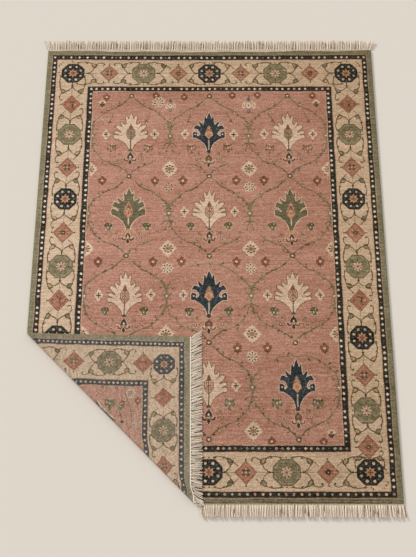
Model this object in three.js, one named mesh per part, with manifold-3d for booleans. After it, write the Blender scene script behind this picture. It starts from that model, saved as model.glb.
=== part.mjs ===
// A hand-knotted rug lying on the floor with its near left corner folded over, in millimetres.
// +X runs across the rug, +Y to its far end and +Z up, and the floor is z = 0.
// Every piece is laid out on the flat rug and then carried through the same fold.
import * as THREE from "three";
import { mergeVertices } from "three/addons/utils/BufferGeometryUtils.js";
import Module from "manifold-3d";

// Driving dimensions of the knotted body
const WIDTH = 1700;
const LENGTH = 2400;
const THICK = 8;
const CORNER_DRAWN_IN_X = 9.4;
const CORNER_DRAWN_IN_Y = 36.8;

// The near fringe lies a little longer than the far one, so the body sits off centre along Y
const FAR_FRINGE = 52;
const NEAR_FRINGE = 62;
const FAR_EDGE = LENGTH / 2 + (NEAR_FRINGE - FAR_FRINGE) / 2;
const NEAR_EDGE = FAR_EDGE - LENGTH;
const SIDE_EDGE = WIDTH / 2;

// The fold: where its outer edge meets the left side and the near end, and how tightly it turns
const CREASE_UP_SIDE = 794;
const CREASE_ALONG_END = 785;
const BEND_RADIUS = 8;
const LAYER_GAP = 1;
const SETTLE_RUN = 90;
const FOLD_MARGIN = 10;

// Overcast selvedges and woven headings, sewn to the body with a hairline gap
const SEAM = 0.3;
const SELVEDGE_SEAM = 0.5;
const SELVEDGE_THICK = THICK;
const HEADING_WIDTH = 5;
const HEADING_THICK = 3;

// Fringe locks, four sided and flattened
const LOCKS_FAR = 120;
const LOCKS_LYING = 65;
const LOCKS_TURNED = 55;
const LOCK_WIDTH = 8.5;
const LOCK_INSET = SEAM + 3;
const TIP_WIDTH = 5;
const TIP_THICK = 2;
const LOCK_MIDWAY = 0.3;
const LOCK_AT_REST = 0.6;
const UNEVEN_LENGTH = 7;
const UNEVEN_LEAN = 3;
const FAR_CORNER_LEAN = 20;
const NEAR_CORNER_LEAN = 3;
const CORNER_LEAN_REACH = 25;

// How far each lock on the turned corner leans, from the corner's tip to the crease
const TURNED_LEANS = [
  { fromTip: 0, degrees: 38 },
  { fromTip: 35, degrees: 29 },
  { fromTip: 100, degrees: 24 },
  { fromTip: 260, degrees: 19 },
  { fromTip: 420, degrees: 9 },
  { fromTip: 580, degrees: 0 },
  { fromTip: 690, degrees: -8 },
  { fromTip: 745, degrees: -32 },
  { fromTip: 790, degrees: 0 },
];

// Dyed wool and undyed cotton
const KNOTTED_WOOL = { color: 0xb8826f, roughness: 0.95, metalness: 0 };
const GREEN_WOOL = { color: 0x7d8062, roughness: 0.95, metalness: 0 };
const COTTON = { color: 0xd8cbb6, roughness: 0.9, metalness: 0 };

const wasm = await Module();
wasm.setup();

// The flat rug's outline, counter-clockwise from its near right corner
const OUTLINE = [
  new THREE.Vector2(SIDE_EDGE, NEAR_EDGE),
  new THREE.Vector2(SIDE_EDGE, FAR_EDGE),
  new THREE.Vector2(-SIDE_EDGE, FAR_EDGE),
  new THREE.Vector2(-SIDE_EDGE, NEAR_EDGE + CREASE_UP_SIDE),
  new THREE.Vector2(-SIDE_EDGE + CORNER_DRAWN_IN_X, NEAR_EDGE + CORNER_DRAWN_IN_Y),
  new THREE.Vector2(0, NEAR_EDGE),
];
const [NEAR_RIGHT, FAR_RIGHT, FAR_LEFT, LEFT_AT_CREASE, TURNED_CORNER, NEAR_MIDDLE] = OUTLINE;

// The direction of the crease's outer edge, and the one that points to the corner it turns over
const CREASE_END = new THREE.Vector2(-SIDE_EDGE + CREASE_ALONG_END, NEAR_EDGE);
const ALONG = CREASE_END.clone().sub(LEFT_AT_CREASE).normalize();
const TOWARD_CORNER = new THREE.Vector2(ALONG.y, -ALONG.x);

const MIDDLE = THICK / 2;
const BEND_ARC = Math.PI * BEND_RADIUS;
const BEND_REACH = BEND_RADIUS + THICK / 2;
const DROP = 2 * BEND_RADIUS - THICK - LAYER_GAP;

// How far a point of the flat rug lies past the line where the bend starts
function pastBend(point) {
  return point.clone().sub(LEFT_AT_CREASE).dot(TOWARD_CORNER) + BEND_REACH;
}

// Carries a point of the flat rug, at a height over the cloth's middle, to its place in the fold
function fold(point, height) {
  const along = point.clone().sub(LEFT_AT_CREASE).dot(ALONG);
  const past = pastBend(point);
  const turn = THREE.MathUtils.clamp(past / BEND_RADIUS, 0, Math.PI);
  const run = Math.max(past - BEND_ARC, 0);
  const settled = THREE.MathUtils.smoothstep(run, 0, SETTLE_RUN) * DROP;
  const out = Math.min(past, 0) + BEND_RADIUS * Math.sin(turn) - run - BEND_REACH;
  const place = LEFT_AT_CREASE.clone()
    .addScaledVector(ALONG, along)
    .addScaledVector(TOWARD_CORNER, out - Math.sin(turn) * height);
  const z = MIDDLE + BEND_RADIUS * (1 - Math.cos(turn)) - settled + Math.cos(turn) * height;
  return new THREE.Vector3(place.x, place.y, z);
}

// The distances past the start of the bend at which a piece needs a section of its own
function foldSteps() {
  const steps = [];
  const bendParts = 32;
  const settleParts = 6;
  for (let i = 0; i <= bendParts; i++) {
    steps.push((BEND_ARC * i) / bendParts);
  }
  for (let i = 1; i <= settleParts; i++) {
    steps.push(BEND_ARC + (SETTLE_RUN * i) / settleParts);
  }
  return steps;
}

// A closed solid through a row of rings of equal length, each ring a convex loop
function loft(rings) {
  const sides = rings[0].length;
  const triangles = [];
  const add = (a, b, c) => {
    if (a.distanceTo(b) > 1e-6 && b.distanceTo(c) > 1e-6 && c.distanceTo(a) > 1e-6) {
      triangles.push(a, b, c);
    }
  };
  for (let k = 0; k + 1 < rings.length; k++) {
    for (let i = 0; i < sides; i++) {
      const j = (i + 1) % sides;
      add(rings[k][i], rings[k][j], rings[k + 1][j]);
      add(rings[k][i], rings[k + 1][j], rings[k + 1][i]);
    }
  }
  const last = rings[rings.length - 1];
  for (let i = 1; i + 1 < sides; i++) {
    add(rings[0][0], rings[0][i + 1], rings[0][i]);
    add(last[0], last[i], last[i + 1]);
  }
  return new THREE.BufferGeometry().setFromPoints(triangles);
}

function toManifold(geometry) {
  const merged = mergeVertices(geometry, 1e-4);
  const mesh = new wasm.Mesh({
    numProp: 3,
    vertProperties: merged.attributes.position.array,
    triVerts: new Uint32Array(merged.index.array),
  });
  return new wasm.Manifold(mesh);
}

// Joins overlapping closed solids into one
function weld(geometries) {
  const whole = geometries.map(toManifold).reduce((joined, next) => joined.add(next));
  const mesh = whole.getMesh();
  const geometry = new THREE.BufferGeometry();
  geometry.setAttribute("position", new THREE.BufferAttribute(mesh.vertProperties, 3));
  geometry.setIndex(new THREE.BufferAttribute(mesh.triVerts, 1));
  return geometry;
}

// Where a line parallel to the crease enters and leaves the flat outline
function spanAt(past) {
  const hits = [];
  OUTLINE.forEach((from, i) => {
    const to = OUTLINE[(i + 1) % OUTLINE.length];
    const a = pastBend(from) - past;
    const b = pastBend(to) - past;
    if (Math.min(a, b) <= 1e-6 && Math.max(a, b) >= -1e-6 && Math.abs(a - b) > 1e-9) {
      hits.push(from.clone().lerp(to, THREE.MathUtils.clamp(a / (a - b), 0, 1)));
    }
  });
  const onLine = (p) => p.dot(ALONG);
  hits.sort((p, q) => onLine(p) - onLine(q));
  return [hits[0], hits[hits.length - 1]];
}

// The knotted body, one slab with sections parallel to the crease
function knottedBody() {
  const corners = OUTLINE.map(pastBend);
  const stations = [...corners, ...foldSteps()].sort((a, b) => a - b);
  const rings = stations.map((past) => {
    const [start, end] = spanAt(past);
    return [fold(start, -MIDDLE), fold(end, -MIDDLE), fold(end, MIDDLE), fold(start, MIDDLE)];
  });
  return loft(rings);
}

// The outward side of an edge that runs counter-clockwise round the outline
function outwardOf(from, to) {
  const direction = to.clone().sub(from).normalize();
  return new THREE.Vector2(direction.y, -direction.x);
}

// Rings of one section carried along an edge of the rug, with extra rings where the edge folds.
// In the fold each ring is skewed to lie along the crease, as the body's own sections do.
function ringsAlong(from, to, section) {
  const outward = outwardOf(from, to);
  const direction = to.clone().sub(from).normalize();
  const start = pastBend(from);
  const rate = direction.dot(TOWARD_CORNER);
  const skew = -outward.dot(TOWARD_CORNER) / rate;
  const distances = [0, from.distanceTo(to)];
  for (const step of foldSteps()) {
    const distance = (step - start) / rate;
    if (distance > 0 && distance < distances[1]) {
      distances.push(distance);
    }
  }
  distances.sort((a, b) => a - b);
  return distances.map((distance) => {
    const past = start + rate * distance;
    const isClear = past < -FOLD_MARGIN || past > BEND_ARC + SETTLE_RUN + FOLD_MARGIN;
    return section.map(([across, height]) => {
      const shifted = distance + (isClear ? 0 : skew * across);
      const flat = from.clone().addScaledVector(direction, shifted).addScaledVector(outward, across);
      return fold(flat, height);
    });
  });
}

// One solid with the given section along a chain of edges
function alongEdges(points, section) {
  const rings = [];
  for (let i = 0; i + 1 < points.length; i++) {
    rings.push(...ringsAlong(points[i], points[i + 1], section).slice(i ? 1 : 0));
  }
  return loft(rings);
}

// Evenly spaced places along a chain of edges, each with its outward side and distance
function placesAlong(points, count) {
  const spans = points.slice(1).map((point, i) => point.distanceTo(points[i]));
  const total = spans.reduce((sum, span) => sum + span);
  const places = [];
  for (let i = 0; i < count; i++) {
    const distance = (total * (i + 0.5)) / count;
    let edge = 0;
    let left = distance;
    while (left > spans[edge]) {
      left -= spans[edge];
      edge += 1;
    }
    const [from, to] = [points[edge], points[edge + 1]];
    places.push({ point: from.clone().lerp(to, left / spans[edge]), outward: outwardOf(from, to), distance });
  }
  return places;
}

// The overcast cord's section: eight sides, flat where it meets the body and the floor
function cordSection() {
  const radius = SELVEDGE_THICK / 2 / Math.cos(Math.PI / 8);
  const section = [];
  for (let i = 0; i < 8; i++) {
    const angle = (-(i + 0.5) * Math.PI) / 4;
    section.push([SELVEDGE_SEAM + SELVEDGE_THICK / 2 + radius * Math.cos(angle), radius * Math.sin(angle)]);
  }
  return section;
}

// A heading's section, in the plane of the foundation at the rug's back
const HEADING_SECTION = [
  [SEAM, -MIDDLE],
  [SEAM, -MIDDLE + HEADING_THICK],
  [SEAM + HEADING_WIDTH, -MIDDLE + HEADING_THICK],
  [SEAM + HEADING_WIDTH, -MIDDLE],
];

// A repeatable unevenness between -1 and 1, from two beats that never fall in step
function uneven(index, kind) {
  const quick = 2.399 * index + 1.7 * kind;
  const slow = 0.731 * index + 2.9 * kind;
  return Math.sin(quick) * Math.cos(slow);
}

// Every seventh lock is straight and full length, so the fringe reaches its stated length
function isPlain(index) {
  return index % 7 === 3;
}

function shortfall(index, kind) {
  return UNEVEN_LENGTH * (0.5 + 0.5 * uneven(index, kind));
}

// One flattened lock from inside the heading to its tip, falling from its root to its rest level
function lock(root, heading, length, rest) {
  const toRight = new THREE.Vector2(heading.y, -heading.x);
  const stations = [
    { part: 0, width: LOCK_WIDTH, thick: HEADING_THICK },
    { part: LOCK_MIDWAY, width: LOCK_WIDTH, thick: HEADING_THICK },
    { part: LOCK_AT_REST, width: LOCK_WIDTH, thick: HEADING_THICK },
    { part: 1, width: TIP_WIDTH, thick: TIP_THICK },
  ];
  const rings = stations.map(({ part, width, thick }) => {
    const fallen = THREE.MathUtils.smoothstep(part, 0, LOCK_AT_REST);
    const bottom = THREE.MathUtils.lerp(root.z, rest, fallen);
    const centre = new THREE.Vector2(root.x, root.y).addScaledVector(heading, length * part);
    const left = centre.clone().addScaledVector(toRight, -width / 2);
    const right = centre.clone().addScaledVector(toRight, width / 2);
    return [
      new THREE.Vector3(left.x, left.y, bottom),
      new THREE.Vector3(left.x, left.y, bottom + thick),
      new THREE.Vector3(right.x, right.y, bottom + thick),
      new THREE.Vector3(right.x, right.y, bottom),
    ];
  });
  return loft(rings);
}

// The lean that a row of rows gives at one distance
function leanAt(rows, distance) {
  const after = rows.findIndex((row) => row.fromTip >= distance);
  if (after <= 0) {
    return rows[after === 0 ? 0 : rows.length - 1].degrees;
  }
  const [near, far] = [rows[after - 1], rows[after]];
  const share = (distance - near.fromTip) / (far.fromTip - near.fromTip);
  return THREE.MathUtils.lerp(near.degrees, far.degrees, share);
}

// Locks on the floor, side by side along an end, which flare out at the rug's own corners
function lyingLocks(points, count, length, cornerLean) {
  return placesAlong(points, count).map(({ point, outward }, i) => {
    const fromCorner = Math.min(point.distanceTo(points[0]), point.distanceTo(points[points.length - 1]));
    const isAtCorner = fromCorner < LOCK_WIDTH;
    const inFromSide = SIDE_EDGE - LOCK_WIDTH - Math.abs(point.x);
    const flare = cornerLean * Math.exp(-inFromSide / CORNER_LEAN_REACH);
    const sway = isAtCorner ? 0 : UNEVEN_LEAN * uneven(i, 1);
    const lean = isPlain(i) ? 0 : THREE.MathUtils.degToRad(sway + Math.sign(point.x) * flare);
    const heading = new THREE.Vector2(Math.sin(lean), Math.cos(lean) * Math.sign(outward.y));
    const shorter = isPlain(i) || isAtCorner ? 0 : shortfall(i, 2);
    const root = point.clone().addScaledVector(outward, LOCK_INSET);
    return lock(new THREE.Vector3(root.x, root.y, 0), heading, length - LOCK_INSET - shorter, 0);
  });
}

// Locks on the turned corner, which fall from the heading onto the face of the rug below
function turnedLocks(points, count) {
  return placesAlong(points, count).map(({ point, outward, distance }, i) => {
    const flat = point.clone().addScaledVector(outward, LOCK_INSET);
    const foot = fold(flat, -MIDDLE);
    const top = fold(flat, -MIDDLE + HEADING_THICK);
    const ahead = fold(flat.clone().add(outward), -MIDDLE);
    const straight = new THREE.Vector2(ahead.x - foot.x, ahead.y - foot.y).normalize();
    const lean = leanAt(TURNED_LEANS, distance) + (i ? UNEVEN_LEAN * uneven(i, 3) : 0);
    const heading = straight.rotateAround(new THREE.Vector2(), THREE.MathUtils.degToRad(lean));
    const length = NEAR_FRINGE - LOCK_INSET - shortfall(i, 4);
    const root = new THREE.Vector3(foot.x, foot.y, Math.min(foot.z, top.z));
    const isOverRug = foot.y + heading.y * length * LOCK_MIDWAY > NEAR_EDGE;
    const rest = (isOverRug ? THICK : HEADING_THICK) + SEAM;
    return lock(root, heading, length, rest);
  });
}

// The near end's heading and fringe are parted where the bend starts
const END_RUN = TURNED_CORNER.clone().sub(NEAR_MIDDLE).normalize();
const TO_PARTING = -pastBend(NEAR_MIDDLE) / END_RUN.dot(TOWARD_CORNER);
const PARTING = NEAR_MIDDLE.clone().addScaledVector(END_RUN, TO_PARTING);

function farFringe() {
  const end = [FAR_RIGHT, FAR_LEFT];
  const locks = lyingLocks(end, LOCKS_FAR, FAR_FRINGE, FAR_CORNER_LEAN);
  return weld([alongEdges(end, HEADING_SECTION), ...locks]);
}

function nearFringe() {
  const end = [PARTING, NEAR_MIDDLE, NEAR_RIGHT];
  const firstLock = PARTING.clone().addScaledVector(END_RUN, -HEADING_WIDTH);
  const locks = lyingLocks([firstLock, NEAR_MIDDLE, NEAR_RIGHT], LOCKS_LYING, NEAR_FRINGE, NEAR_CORNER_LEAN);
  return weld([alongEdges(end, HEADING_SECTION), ...locks]);
}

function turnedFringe() {
  const end = [TURNED_CORNER, PARTING.clone().addScaledVector(END_RUN, SEAM * 2)];
  return weld([alongEdges(end, HEADING_SECTION), ...turnedLocks(end, LOCKS_TURNED)]);
}

function piece(name, geometry, look) {
  const mesh = new THREE.Mesh(geometry, new THREE.MeshStandardMaterial(look));
  mesh.name = name;
  return mesh;
}

const rug = new THREE.Group();
rug.add(
  piece("rug", knottedBody(), KNOTTED_WOOL),
  piece("selvedge_left", alongEdges([FAR_LEFT, LEFT_AT_CREASE, TURNED_CORNER], cordSection()), GREEN_WOOL),
  piece("selvedge_right", alongEdges([NEAR_RIGHT, FAR_RIGHT], cordSection()), GREEN_WOOL),
  piece("fringe_far", farFringe(), COTTON),
  piece("fringe_near", nearFringe(), COTTON),
  piece("fringe_turned", turnedFringe(), COTTON),
);

export default rug;
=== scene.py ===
"""A hand-knotted wool rug, 1.70 by 2.40 m, with its near left corner folded over onto its face."""
import random
from math import atan2, ceil, cos, hypot, pi, radians, sin
import bmesh
import bpy
from mathutils import Matrix, Vector
from mathutils.geometry import delaunay_2d_cdt


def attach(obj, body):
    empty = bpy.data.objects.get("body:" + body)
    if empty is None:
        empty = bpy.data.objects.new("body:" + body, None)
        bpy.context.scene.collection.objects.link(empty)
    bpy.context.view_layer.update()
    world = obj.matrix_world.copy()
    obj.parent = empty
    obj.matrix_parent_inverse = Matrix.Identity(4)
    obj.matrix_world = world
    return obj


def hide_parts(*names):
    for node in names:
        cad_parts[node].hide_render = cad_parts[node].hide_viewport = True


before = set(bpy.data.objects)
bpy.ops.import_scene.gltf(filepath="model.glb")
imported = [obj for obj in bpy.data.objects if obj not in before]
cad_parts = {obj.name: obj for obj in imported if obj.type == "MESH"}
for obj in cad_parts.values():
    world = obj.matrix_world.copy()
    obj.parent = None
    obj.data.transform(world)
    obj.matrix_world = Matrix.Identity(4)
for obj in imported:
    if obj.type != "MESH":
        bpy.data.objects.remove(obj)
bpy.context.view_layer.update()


# The viewpoint. A long lens held high over the near end, looking down the rug, turned and tilted by
# less than half a degree. The long side of the frame is the upright one.

CAMERA_PLACE = Vector((0.0105, -2.2439, 4.7025))
CAMERA_DOWN = radians(65.637)
CAMERA_ASIDE = radians(-0.441)
CAMERA_TILT = radians(-0.397)
LENS_MM = 69.8

sight = Vector((sin(CAMERA_ASIDE) * cos(CAMERA_DOWN), cos(CAMERA_ASIDE) * cos(CAMERA_DOWN),
                -sin(CAMERA_DOWN)))
level = Vector((cos(CAMERA_ASIDE), -sin(CAMERA_ASIDE), 0))
upright = level.cross(sight)
to_right = level * cos(CAMERA_TILT) + upright * sin(CAMERA_TILT)
to_top = upright * cos(CAMERA_TILT) - level * sin(CAMERA_TILT)
lens = bpy.data.cameras.new("lens")
lens.lens = LENS_MM
lens.sensor_width = 36
lens.clip_end = 50
camera = bpy.data.objects.new("camera", lens)
facing = Matrix((to_right, to_top, -sight)).transposed().to_4x4()
camera.matrix_world = Matrix.Translation(CAMERA_PLACE) @ facing
bpy.context.collection.objects.link(camera)
bpy.context.scene.camera = camera


# The pattern, as the knotter's cartoon has it: outlines in millimetres on the flat cloth, seen from the
# pile, x across and y along from its middle. A patch of colour that is laid later covers what is under
# it. The turned corner has a cartoon of its own, because it was knotted a little out of square.

HALF_WIDTH = 850
HALF_LENGTH = 1200
LYING = 0
TURNED = 1
AS_CHARTED = (0, 0, 0, 1, 1, LYING)
TURNED_AS_CHARTED = (0, 0, 0, 1, 1, TURNED)
COUNTED = 13
RAGGED = 0.9
FAR_BOW = 4.5
BOW_STARTS = 880
BOW_RUN = 300
VINE_STEP = 14
hand = random.Random(11)
chart = []


def lay(dye, outline, spot):
    """Lays a patch of one dye. A spot is its middle's place, its turn, its two stretches and its part.

    The edge wavers by a knot or less, and the far bands bow a little towards the rug's middle."""
    x, y, turn, wide, tall, part = spot
    along, aside = cos(turn), sin(turn)
    placed = [(x + along * wide * a - aside * tall * b, y + aside * wide * a + along * tall * b)
              for a, b in outline]
    ragged = []
    for p, q in zip(placed, placed[1:] + placed[:1]):
        steps = 1 if spot is AS_CHARTED else max(1, round(hypot(q[0] - p[0], q[1] - p[1]) / COUNTED))
        for i in range(steps):
            px, py = p[0] + (q[0] - p[0]) * i / steps, p[1] + (q[1] - p[1]) * i / steps
            bow = FAR_BOW * (1 - (px / HALF_WIDTH) ** 2) * min(max((py - BOW_STARTS) / BOW_RUN, 0), 1)
            ragged.append((px + RAGGED * sin(py / 2.3 + 2 * sin(px / 11)),
                           py - (0 if part else bow) + RAGGED * sin(px / 2.1 + 2 * sin(py / 13))))
    chart.append((dye, part, ragged))


def near(spot, right, up, turn=0.0, size=1.0):
    """A spot beside another one, in that one's own directions."""
    x, y, angle, wide, tall, part = spot
    a, b = right * wide, up * tall
    return (x + cos(angle) * a - sin(angle) * b, y + sin(angle) * a + cos(angle) * b,
            angle + turn, wide * size, tall * size, part)


def widened(spot, by):
    return spot[:3] + (spot[3] * by,) + spot[4:]


def mirrored(right_half):
    """A whole outline from its right half, which runs from the top down."""
    return right_half + [(-a, b) for a, b in reversed(right_half) if a > 0.01]


def rounded(radius, sides=8, stretch=1.0):
    return [(radius * sin(2 * pi * i / sides), radius * stretch * cos(2 * pi * i / sides))
            for i in range(sides)]


def star(tips, outer, inner):
    """A star with its first tip up."""
    turns = [(pi * i / tips, inner if i % 2 else outer) for i in range(2 * tips)]
    return [(radius * sin(angle), radius * cos(angle)) for angle, radius in turns]


def lozenge(half_wide, half_tall):
    return [(0, half_tall), (half_wide, 0), (0, -half_tall), (-half_wide, 0)]


def eight_sided(half):
    corner = half * 0.4142
    return mirrored([(corner, half), (half, corner), (half, -corner), (corner, -half)])


def gem(dye, spot, x, y, half_wide, half_tall, turn=0.0):
    """A small diamond beside a spot's middle."""
    lay(dye, lozenge(half_wide, half_tall), near(spot, x, y, turn))


def dot(dye, spot, x, y, radius, sides=6, stretch=1.0, turn=0.0):
    """A small round patch beside a spot's middle."""
    lay(dye, rounded(radius, sides, stretch), near(spot, x, y, turn))


def unit(a, b):
    length = hypot(b[0] - a[0], b[1] - a[1]) or 1
    return ((b[0] - a[0]) / length, (b[1] - a[1]) / length)


def grown(outline, by):
    """A clockwise outline moved outwards by so many millimetres, and a little less at its sharp corners."""
    moved = []
    for before, here, after in zip(outline[-1:] + outline[:-1], outline, outline[1:] + outline[:1]):
        (ax, ay), (bx, by_) = unit(before, here), unit(here, after)
        out_x, out_y = -ay - by_, ax + bx
        length = hypot(out_x, out_y)
        reach = 0.5
        if length < 0.5:
            out_x, out_y = ax - bx, ay - by_
        else:
            reach = min(2 / (length * length), 1.6 / length)
        moved.append((here[0] + out_x * by * reach, here[1] + out_y * by * reach))
    return moved


def flowing(points):
    """A smooth line through the points, for a vine."""
    if len(points) < 3:
        return points
    ends = [points[0]] + points + [points[-1]]
    line = [points[0]]
    for p0, p1, p2, p3 in zip(ends, ends[1:], ends[2:], ends[3:]):
        parts = max(1, round(hypot(p2[0] - p1[0], p2[1] - p1[1]) / VINE_STEP))
        for k in range(1, parts + 1):
            t = k / parts
            line.append(tuple(0.5 * (2 * b + (c - a) * t + (2 * a - 5 * b + 4 * c - d) * t * t
                                     + (3 * b - a - 3 * c + d) * t ** 3)
                              for a, b, c, d in zip(p0, p1, p2, p3)))
    return line


def vine(dye, points, width, spot, uneven=0.5):
    """A line of knots of a width, a little uneven as it is counted out by hand."""
    line = flowing(points)
    left, right = [], []
    for before, here, after in zip(line[:1] + line, line, line[1:] + line[-1:]):
        dx, dy = unit(before, after)
        half = 0.5 * width + hand.uniform(-uneven, uneven)
        off = hand.uniform(-uneven, uneven)
        left.append((here[0] - dy * (half + off), here[1] + dx * (half + off)))
        right.append((here[0] + dy * (half - off), here[1] - dx * (half - off)))
    lay(dye, left + right[::-1], spot)


def vines(spot, side, rows):
    """Several vines on the right, side 1, or the left of a motif: (dye, width, unevenness, its points)."""
    for dye, width, uneven, *points in rows:
        vine(dye, [(x * side, y) for x, y in points], width, spot, uneven)


def leaf(dye, root, tip, width, spot):
    """A drop-shaped leaf from its root to its tip, fullest towards the root."""
    dx, dy = unit(root, tip)
    right, left = [], []
    for t, share in ((0, 0.12), (0.25, 0.42), (0.5, 0.5), (0.78, 0.3), (1, 0.04)):
        x, y = root[0] + t * (tip[0] - root[0]), root[1] + t * (tip[1] - root[1])
        half = share * width
        right.append((x + dy * half, y - dx * half))
        left.append((x - dy * half, y + dx * half))
    lay(dye, right + left[::-1], spot)


def four_ways(draw):
    """Repeats part of a motif to the right and left, above and below."""
    for a in (1, -1):
        for b in (1, -1):
            draw(a, b)


# The bands of the border, from the cloth's edge inwards: a green edge, a tan line, a dotted guard, the
# cream border with its rosettes, a second guard, and the rose field. The numbers are their outer sides.

BAND_DYES = ("green", "tan", "navy", "blush", "straw", "blush", "navy", "blush", "rose")
SIDE_BANDS = (0, 22, 27, 51.5, 55, 215, 219, 247, 251)
FAR_BANDS = (0, 25, 31, 60, 64, 226, 229, 258, 261)
NEAR_BANDS = (0, 19, 25, 52, 55, 226, 230, 259, 262)
TURNED_END_BANDS = (0, 22, 26, 49, 53, 187, 191, 215, 219)
CORNER = (-840.6, -1163.2)
LEFT_AT_CREASE = (-850, -406)
NEAR_MIDDLE = (0, -1200)
CREASE_UP_SIDE = 794
CREASE_ALONG_END = 785
CREASE_SLOPE = 1.011
BANDS_SLANT = 0.0438
FLAP_STARTS = -35
PAST_CREASE = 950
WELL_INSIDE = 900
UP_SIDE = unit(CORNER, LEFT_AT_CREASE)
ALONG_END = unit(CORNER, NEAR_MIDDLE)


def corner_spot(from_side, from_end, turn=0.0, size=1.0):
    """A spot on the turned corner, by its distances from the corner's two edges."""
    x = CORNER[0] + ALONG_END[0] * from_side + UP_SIDE[0] * from_end
    y = CORNER[1] + ALONG_END[1] * from_side + UP_SIDE[1] * from_end
    return (x, y, turn + atan2(ALONG_END[1], ALONG_END[0]), size, size, TURNED)


def near_edge(x, band):
    """The near side of a band. It closes up towards the fold, where the corner's narrower bands begin."""
    lying, turned = NEAR_BANDS[band], TURNED_END_BANDS[band]
    crease_x = -HALF_WIDTH + (CREASE_UP_SIDE - turned) / CREASE_SLOPE
    share = min(max((FLAP_STARTS - x) / (FLAP_STARTS - crease_x), 0), 1)
    return -HALF_LENGTH - min(x, 0) * BANDS_SLANT + lying + (turned - lying) * share


def stepped(a, b, step=40):
    """Points from a to b, without b."""
    parts = max(1, ceil(hypot(b[0] - a[0], b[1] - a[1]) / step))
    return [(a[0] + (b[0] - a[0]) * i / parts, a[1] + (b[1] - a[1]) * i / parts) for i in range(parts)]


def around(corners, step=40):
    """Points all the way round a closed outline."""
    return [p for a, b in zip(corners, corners[1:] + corners[:1]) for p in stepped(a, b, step)]


def wander(outline, by=0.7):
    """Moves the points of a band's edge by a knot or less."""
    return [(x + by * (sin(y / 37 + x / 90) + 0.6 * sin(y / 13.7 + 1)),
             y + by * (sin(x / 41 + y / 70) + 0.6 * sin(x / 15.1))) for x, y in outline]


for band in range(1, len(BAND_DYES)):
    side, end = SIDE_BANDS[band], TURNED_END_BANDS[band]
    right, far = HALF_WIDTH - side, HALF_LENGTH - FAR_BANDS[band]
    ring = [(-right, near_edge(-right, band))]
    ring += [(x, near_edge(x, band)) for x in range(-840 + round(side), 840 - round(side), 20)]
    near_left, near_right = ring[0], (right, near_edge(right, band))
    ring += stepped(near_right, (right, far)) + stepped((right, far), (-right, far))
    ring += stepped((-right, far), near_left)
    lay(BAND_DYES[band], wander(ring), AS_CHARTED)
    places = ((side, end), (PAST_CREASE, end), (PAST_CREASE, WELL_INSIDE), (side, WELL_INSIDE))
    corners = [corner_spot(*place)[:2] for place in places]
    lay(BAND_DYES[band], wander(around(corners)), TURNED_AS_CHARTED)


# The far end's woven heading laps a little way onto the cloth, most in the middle. Two thin dark lines
# run in the near end's green edge.

lap = [(x, 1197 - 4 * (1 - (x / HALF_WIDTH) ** 2) + 2 * sin(x / 60)) for x in range(-840, 850, 24)]
lay("cotton", [(-850, 1201), (-850, 1198)] + lap + [(850, 1197), (850, 1201)], AS_CHARTED)
for dye, inwards, width, uneven in (("brown", 15, 3.4, 1.2), ("moss", 4, 4, 1.4)):
    vine(dye, [(x, near_edge(x, 0) + inwards) for x in range(-40, 840, 40)], width, AS_CHARTED, uneven)


# The guards' dots: small cream diamonds, some with a pink heart, and fainter blue-grey ones between. On
# the near guards they are duller.

OUTER_X, INNER_X = 811, 613
OUTER_FAR_Y, INNER_FAR_Y = 1154, 956
OUTER_NEAR_Y, INNER_NEAR_Y = -1160, -954


def guard_dot(spot, bright, dull):
    if not bright:
        half = hand.uniform(4, 5.2)
        lay(hand.choice(("slate", "tan", "slate", "fern")), lozenge(half, half), spot)
        return
    half = hand.uniform(6.6, 7.8) * (0.85 if spot[5] == TURNED else 1)
    dye = hand.choice(("cream", "ash", "blush", "tan") if dull else ("pearl", "pearl", "pearl", "cream"))
    lay(dye, lozenge(half, half) if hand.random() < 0.4 else rounded(half * 0.9, 8), spot)
    if hand.random() < (0.7 if dull else 0.2):
        lay(hand.choice(("tan", "rust", "umber") if dull else ("blush", "tan")), lozenge(2.8, 2.8), spot)


def dotted(a, b, pitch, part=LYING, faint_every=4, dull=False):
    """A row of dots from a to b. Every so many, one is faint."""
    count = round(hypot(b[0] - a[0], b[1] - a[1]) / pitch)
    for i in range(count + 1):
        t = (i + hand.uniform(-0.05, 0.05)) / count
        spot = (a[0] + (b[0] - a[0]) * t, a[1] + (b[1] - a[1]) * t, 0, 1, 1, part)
        guard_dot(spot, not (faint_every and i % faint_every == faint_every - 1), dull)


dotted((-OUTER_X, OUTER_FAR_Y), (-190, OUTER_FAR_Y), 21.5, faint_every=2)
dotted((-160, OUTER_FAR_Y), (OUTER_X, OUTER_FAR_Y), 29.5, faint_every=4)
dotted((-OUTER_X, OUTER_NEAR_Y), (OUTER_X, OUTER_NEAR_Y), 33.8, faint_every=0, dull=True)
dotted((-INNER_X, INNER_FAR_Y), (INNER_X, INNER_FAR_Y), 29.2, faint_every=8)
dotted((-INNER_X, INNER_NEAR_Y), (INNER_X, INNER_NEAR_Y), 26, faint_every=5, dull=True)
for a in (-1, 1):
    dotted((OUTER_X * a, 1118), (OUTER_X * a, -1126), 28.5, faint_every=7)
    dotted((INNER_X * a, 926), (INNER_X * a, -924), 28.5, faint_every=6)
for start, end, pitch in (((39, 38), (39, WELL_INSIDE), 20.5), ((68, 38), (WELL_INSIDE, 38), 28.5),
                          ((233, 203), (233, WELL_INSIDE), 21), ((260, 203), (WELL_INSIDE, 203), 27)):
    dotted(corner_spot(*start)[:2], corner_spot(*end)[:2], pitch, TURNED, 0)


# The border's motifs: octagonal rosettes, navy and green by turns, with a diamond between each two, and
# a thin vine that forks beside each rosette and runs round it with four leaves.

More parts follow.
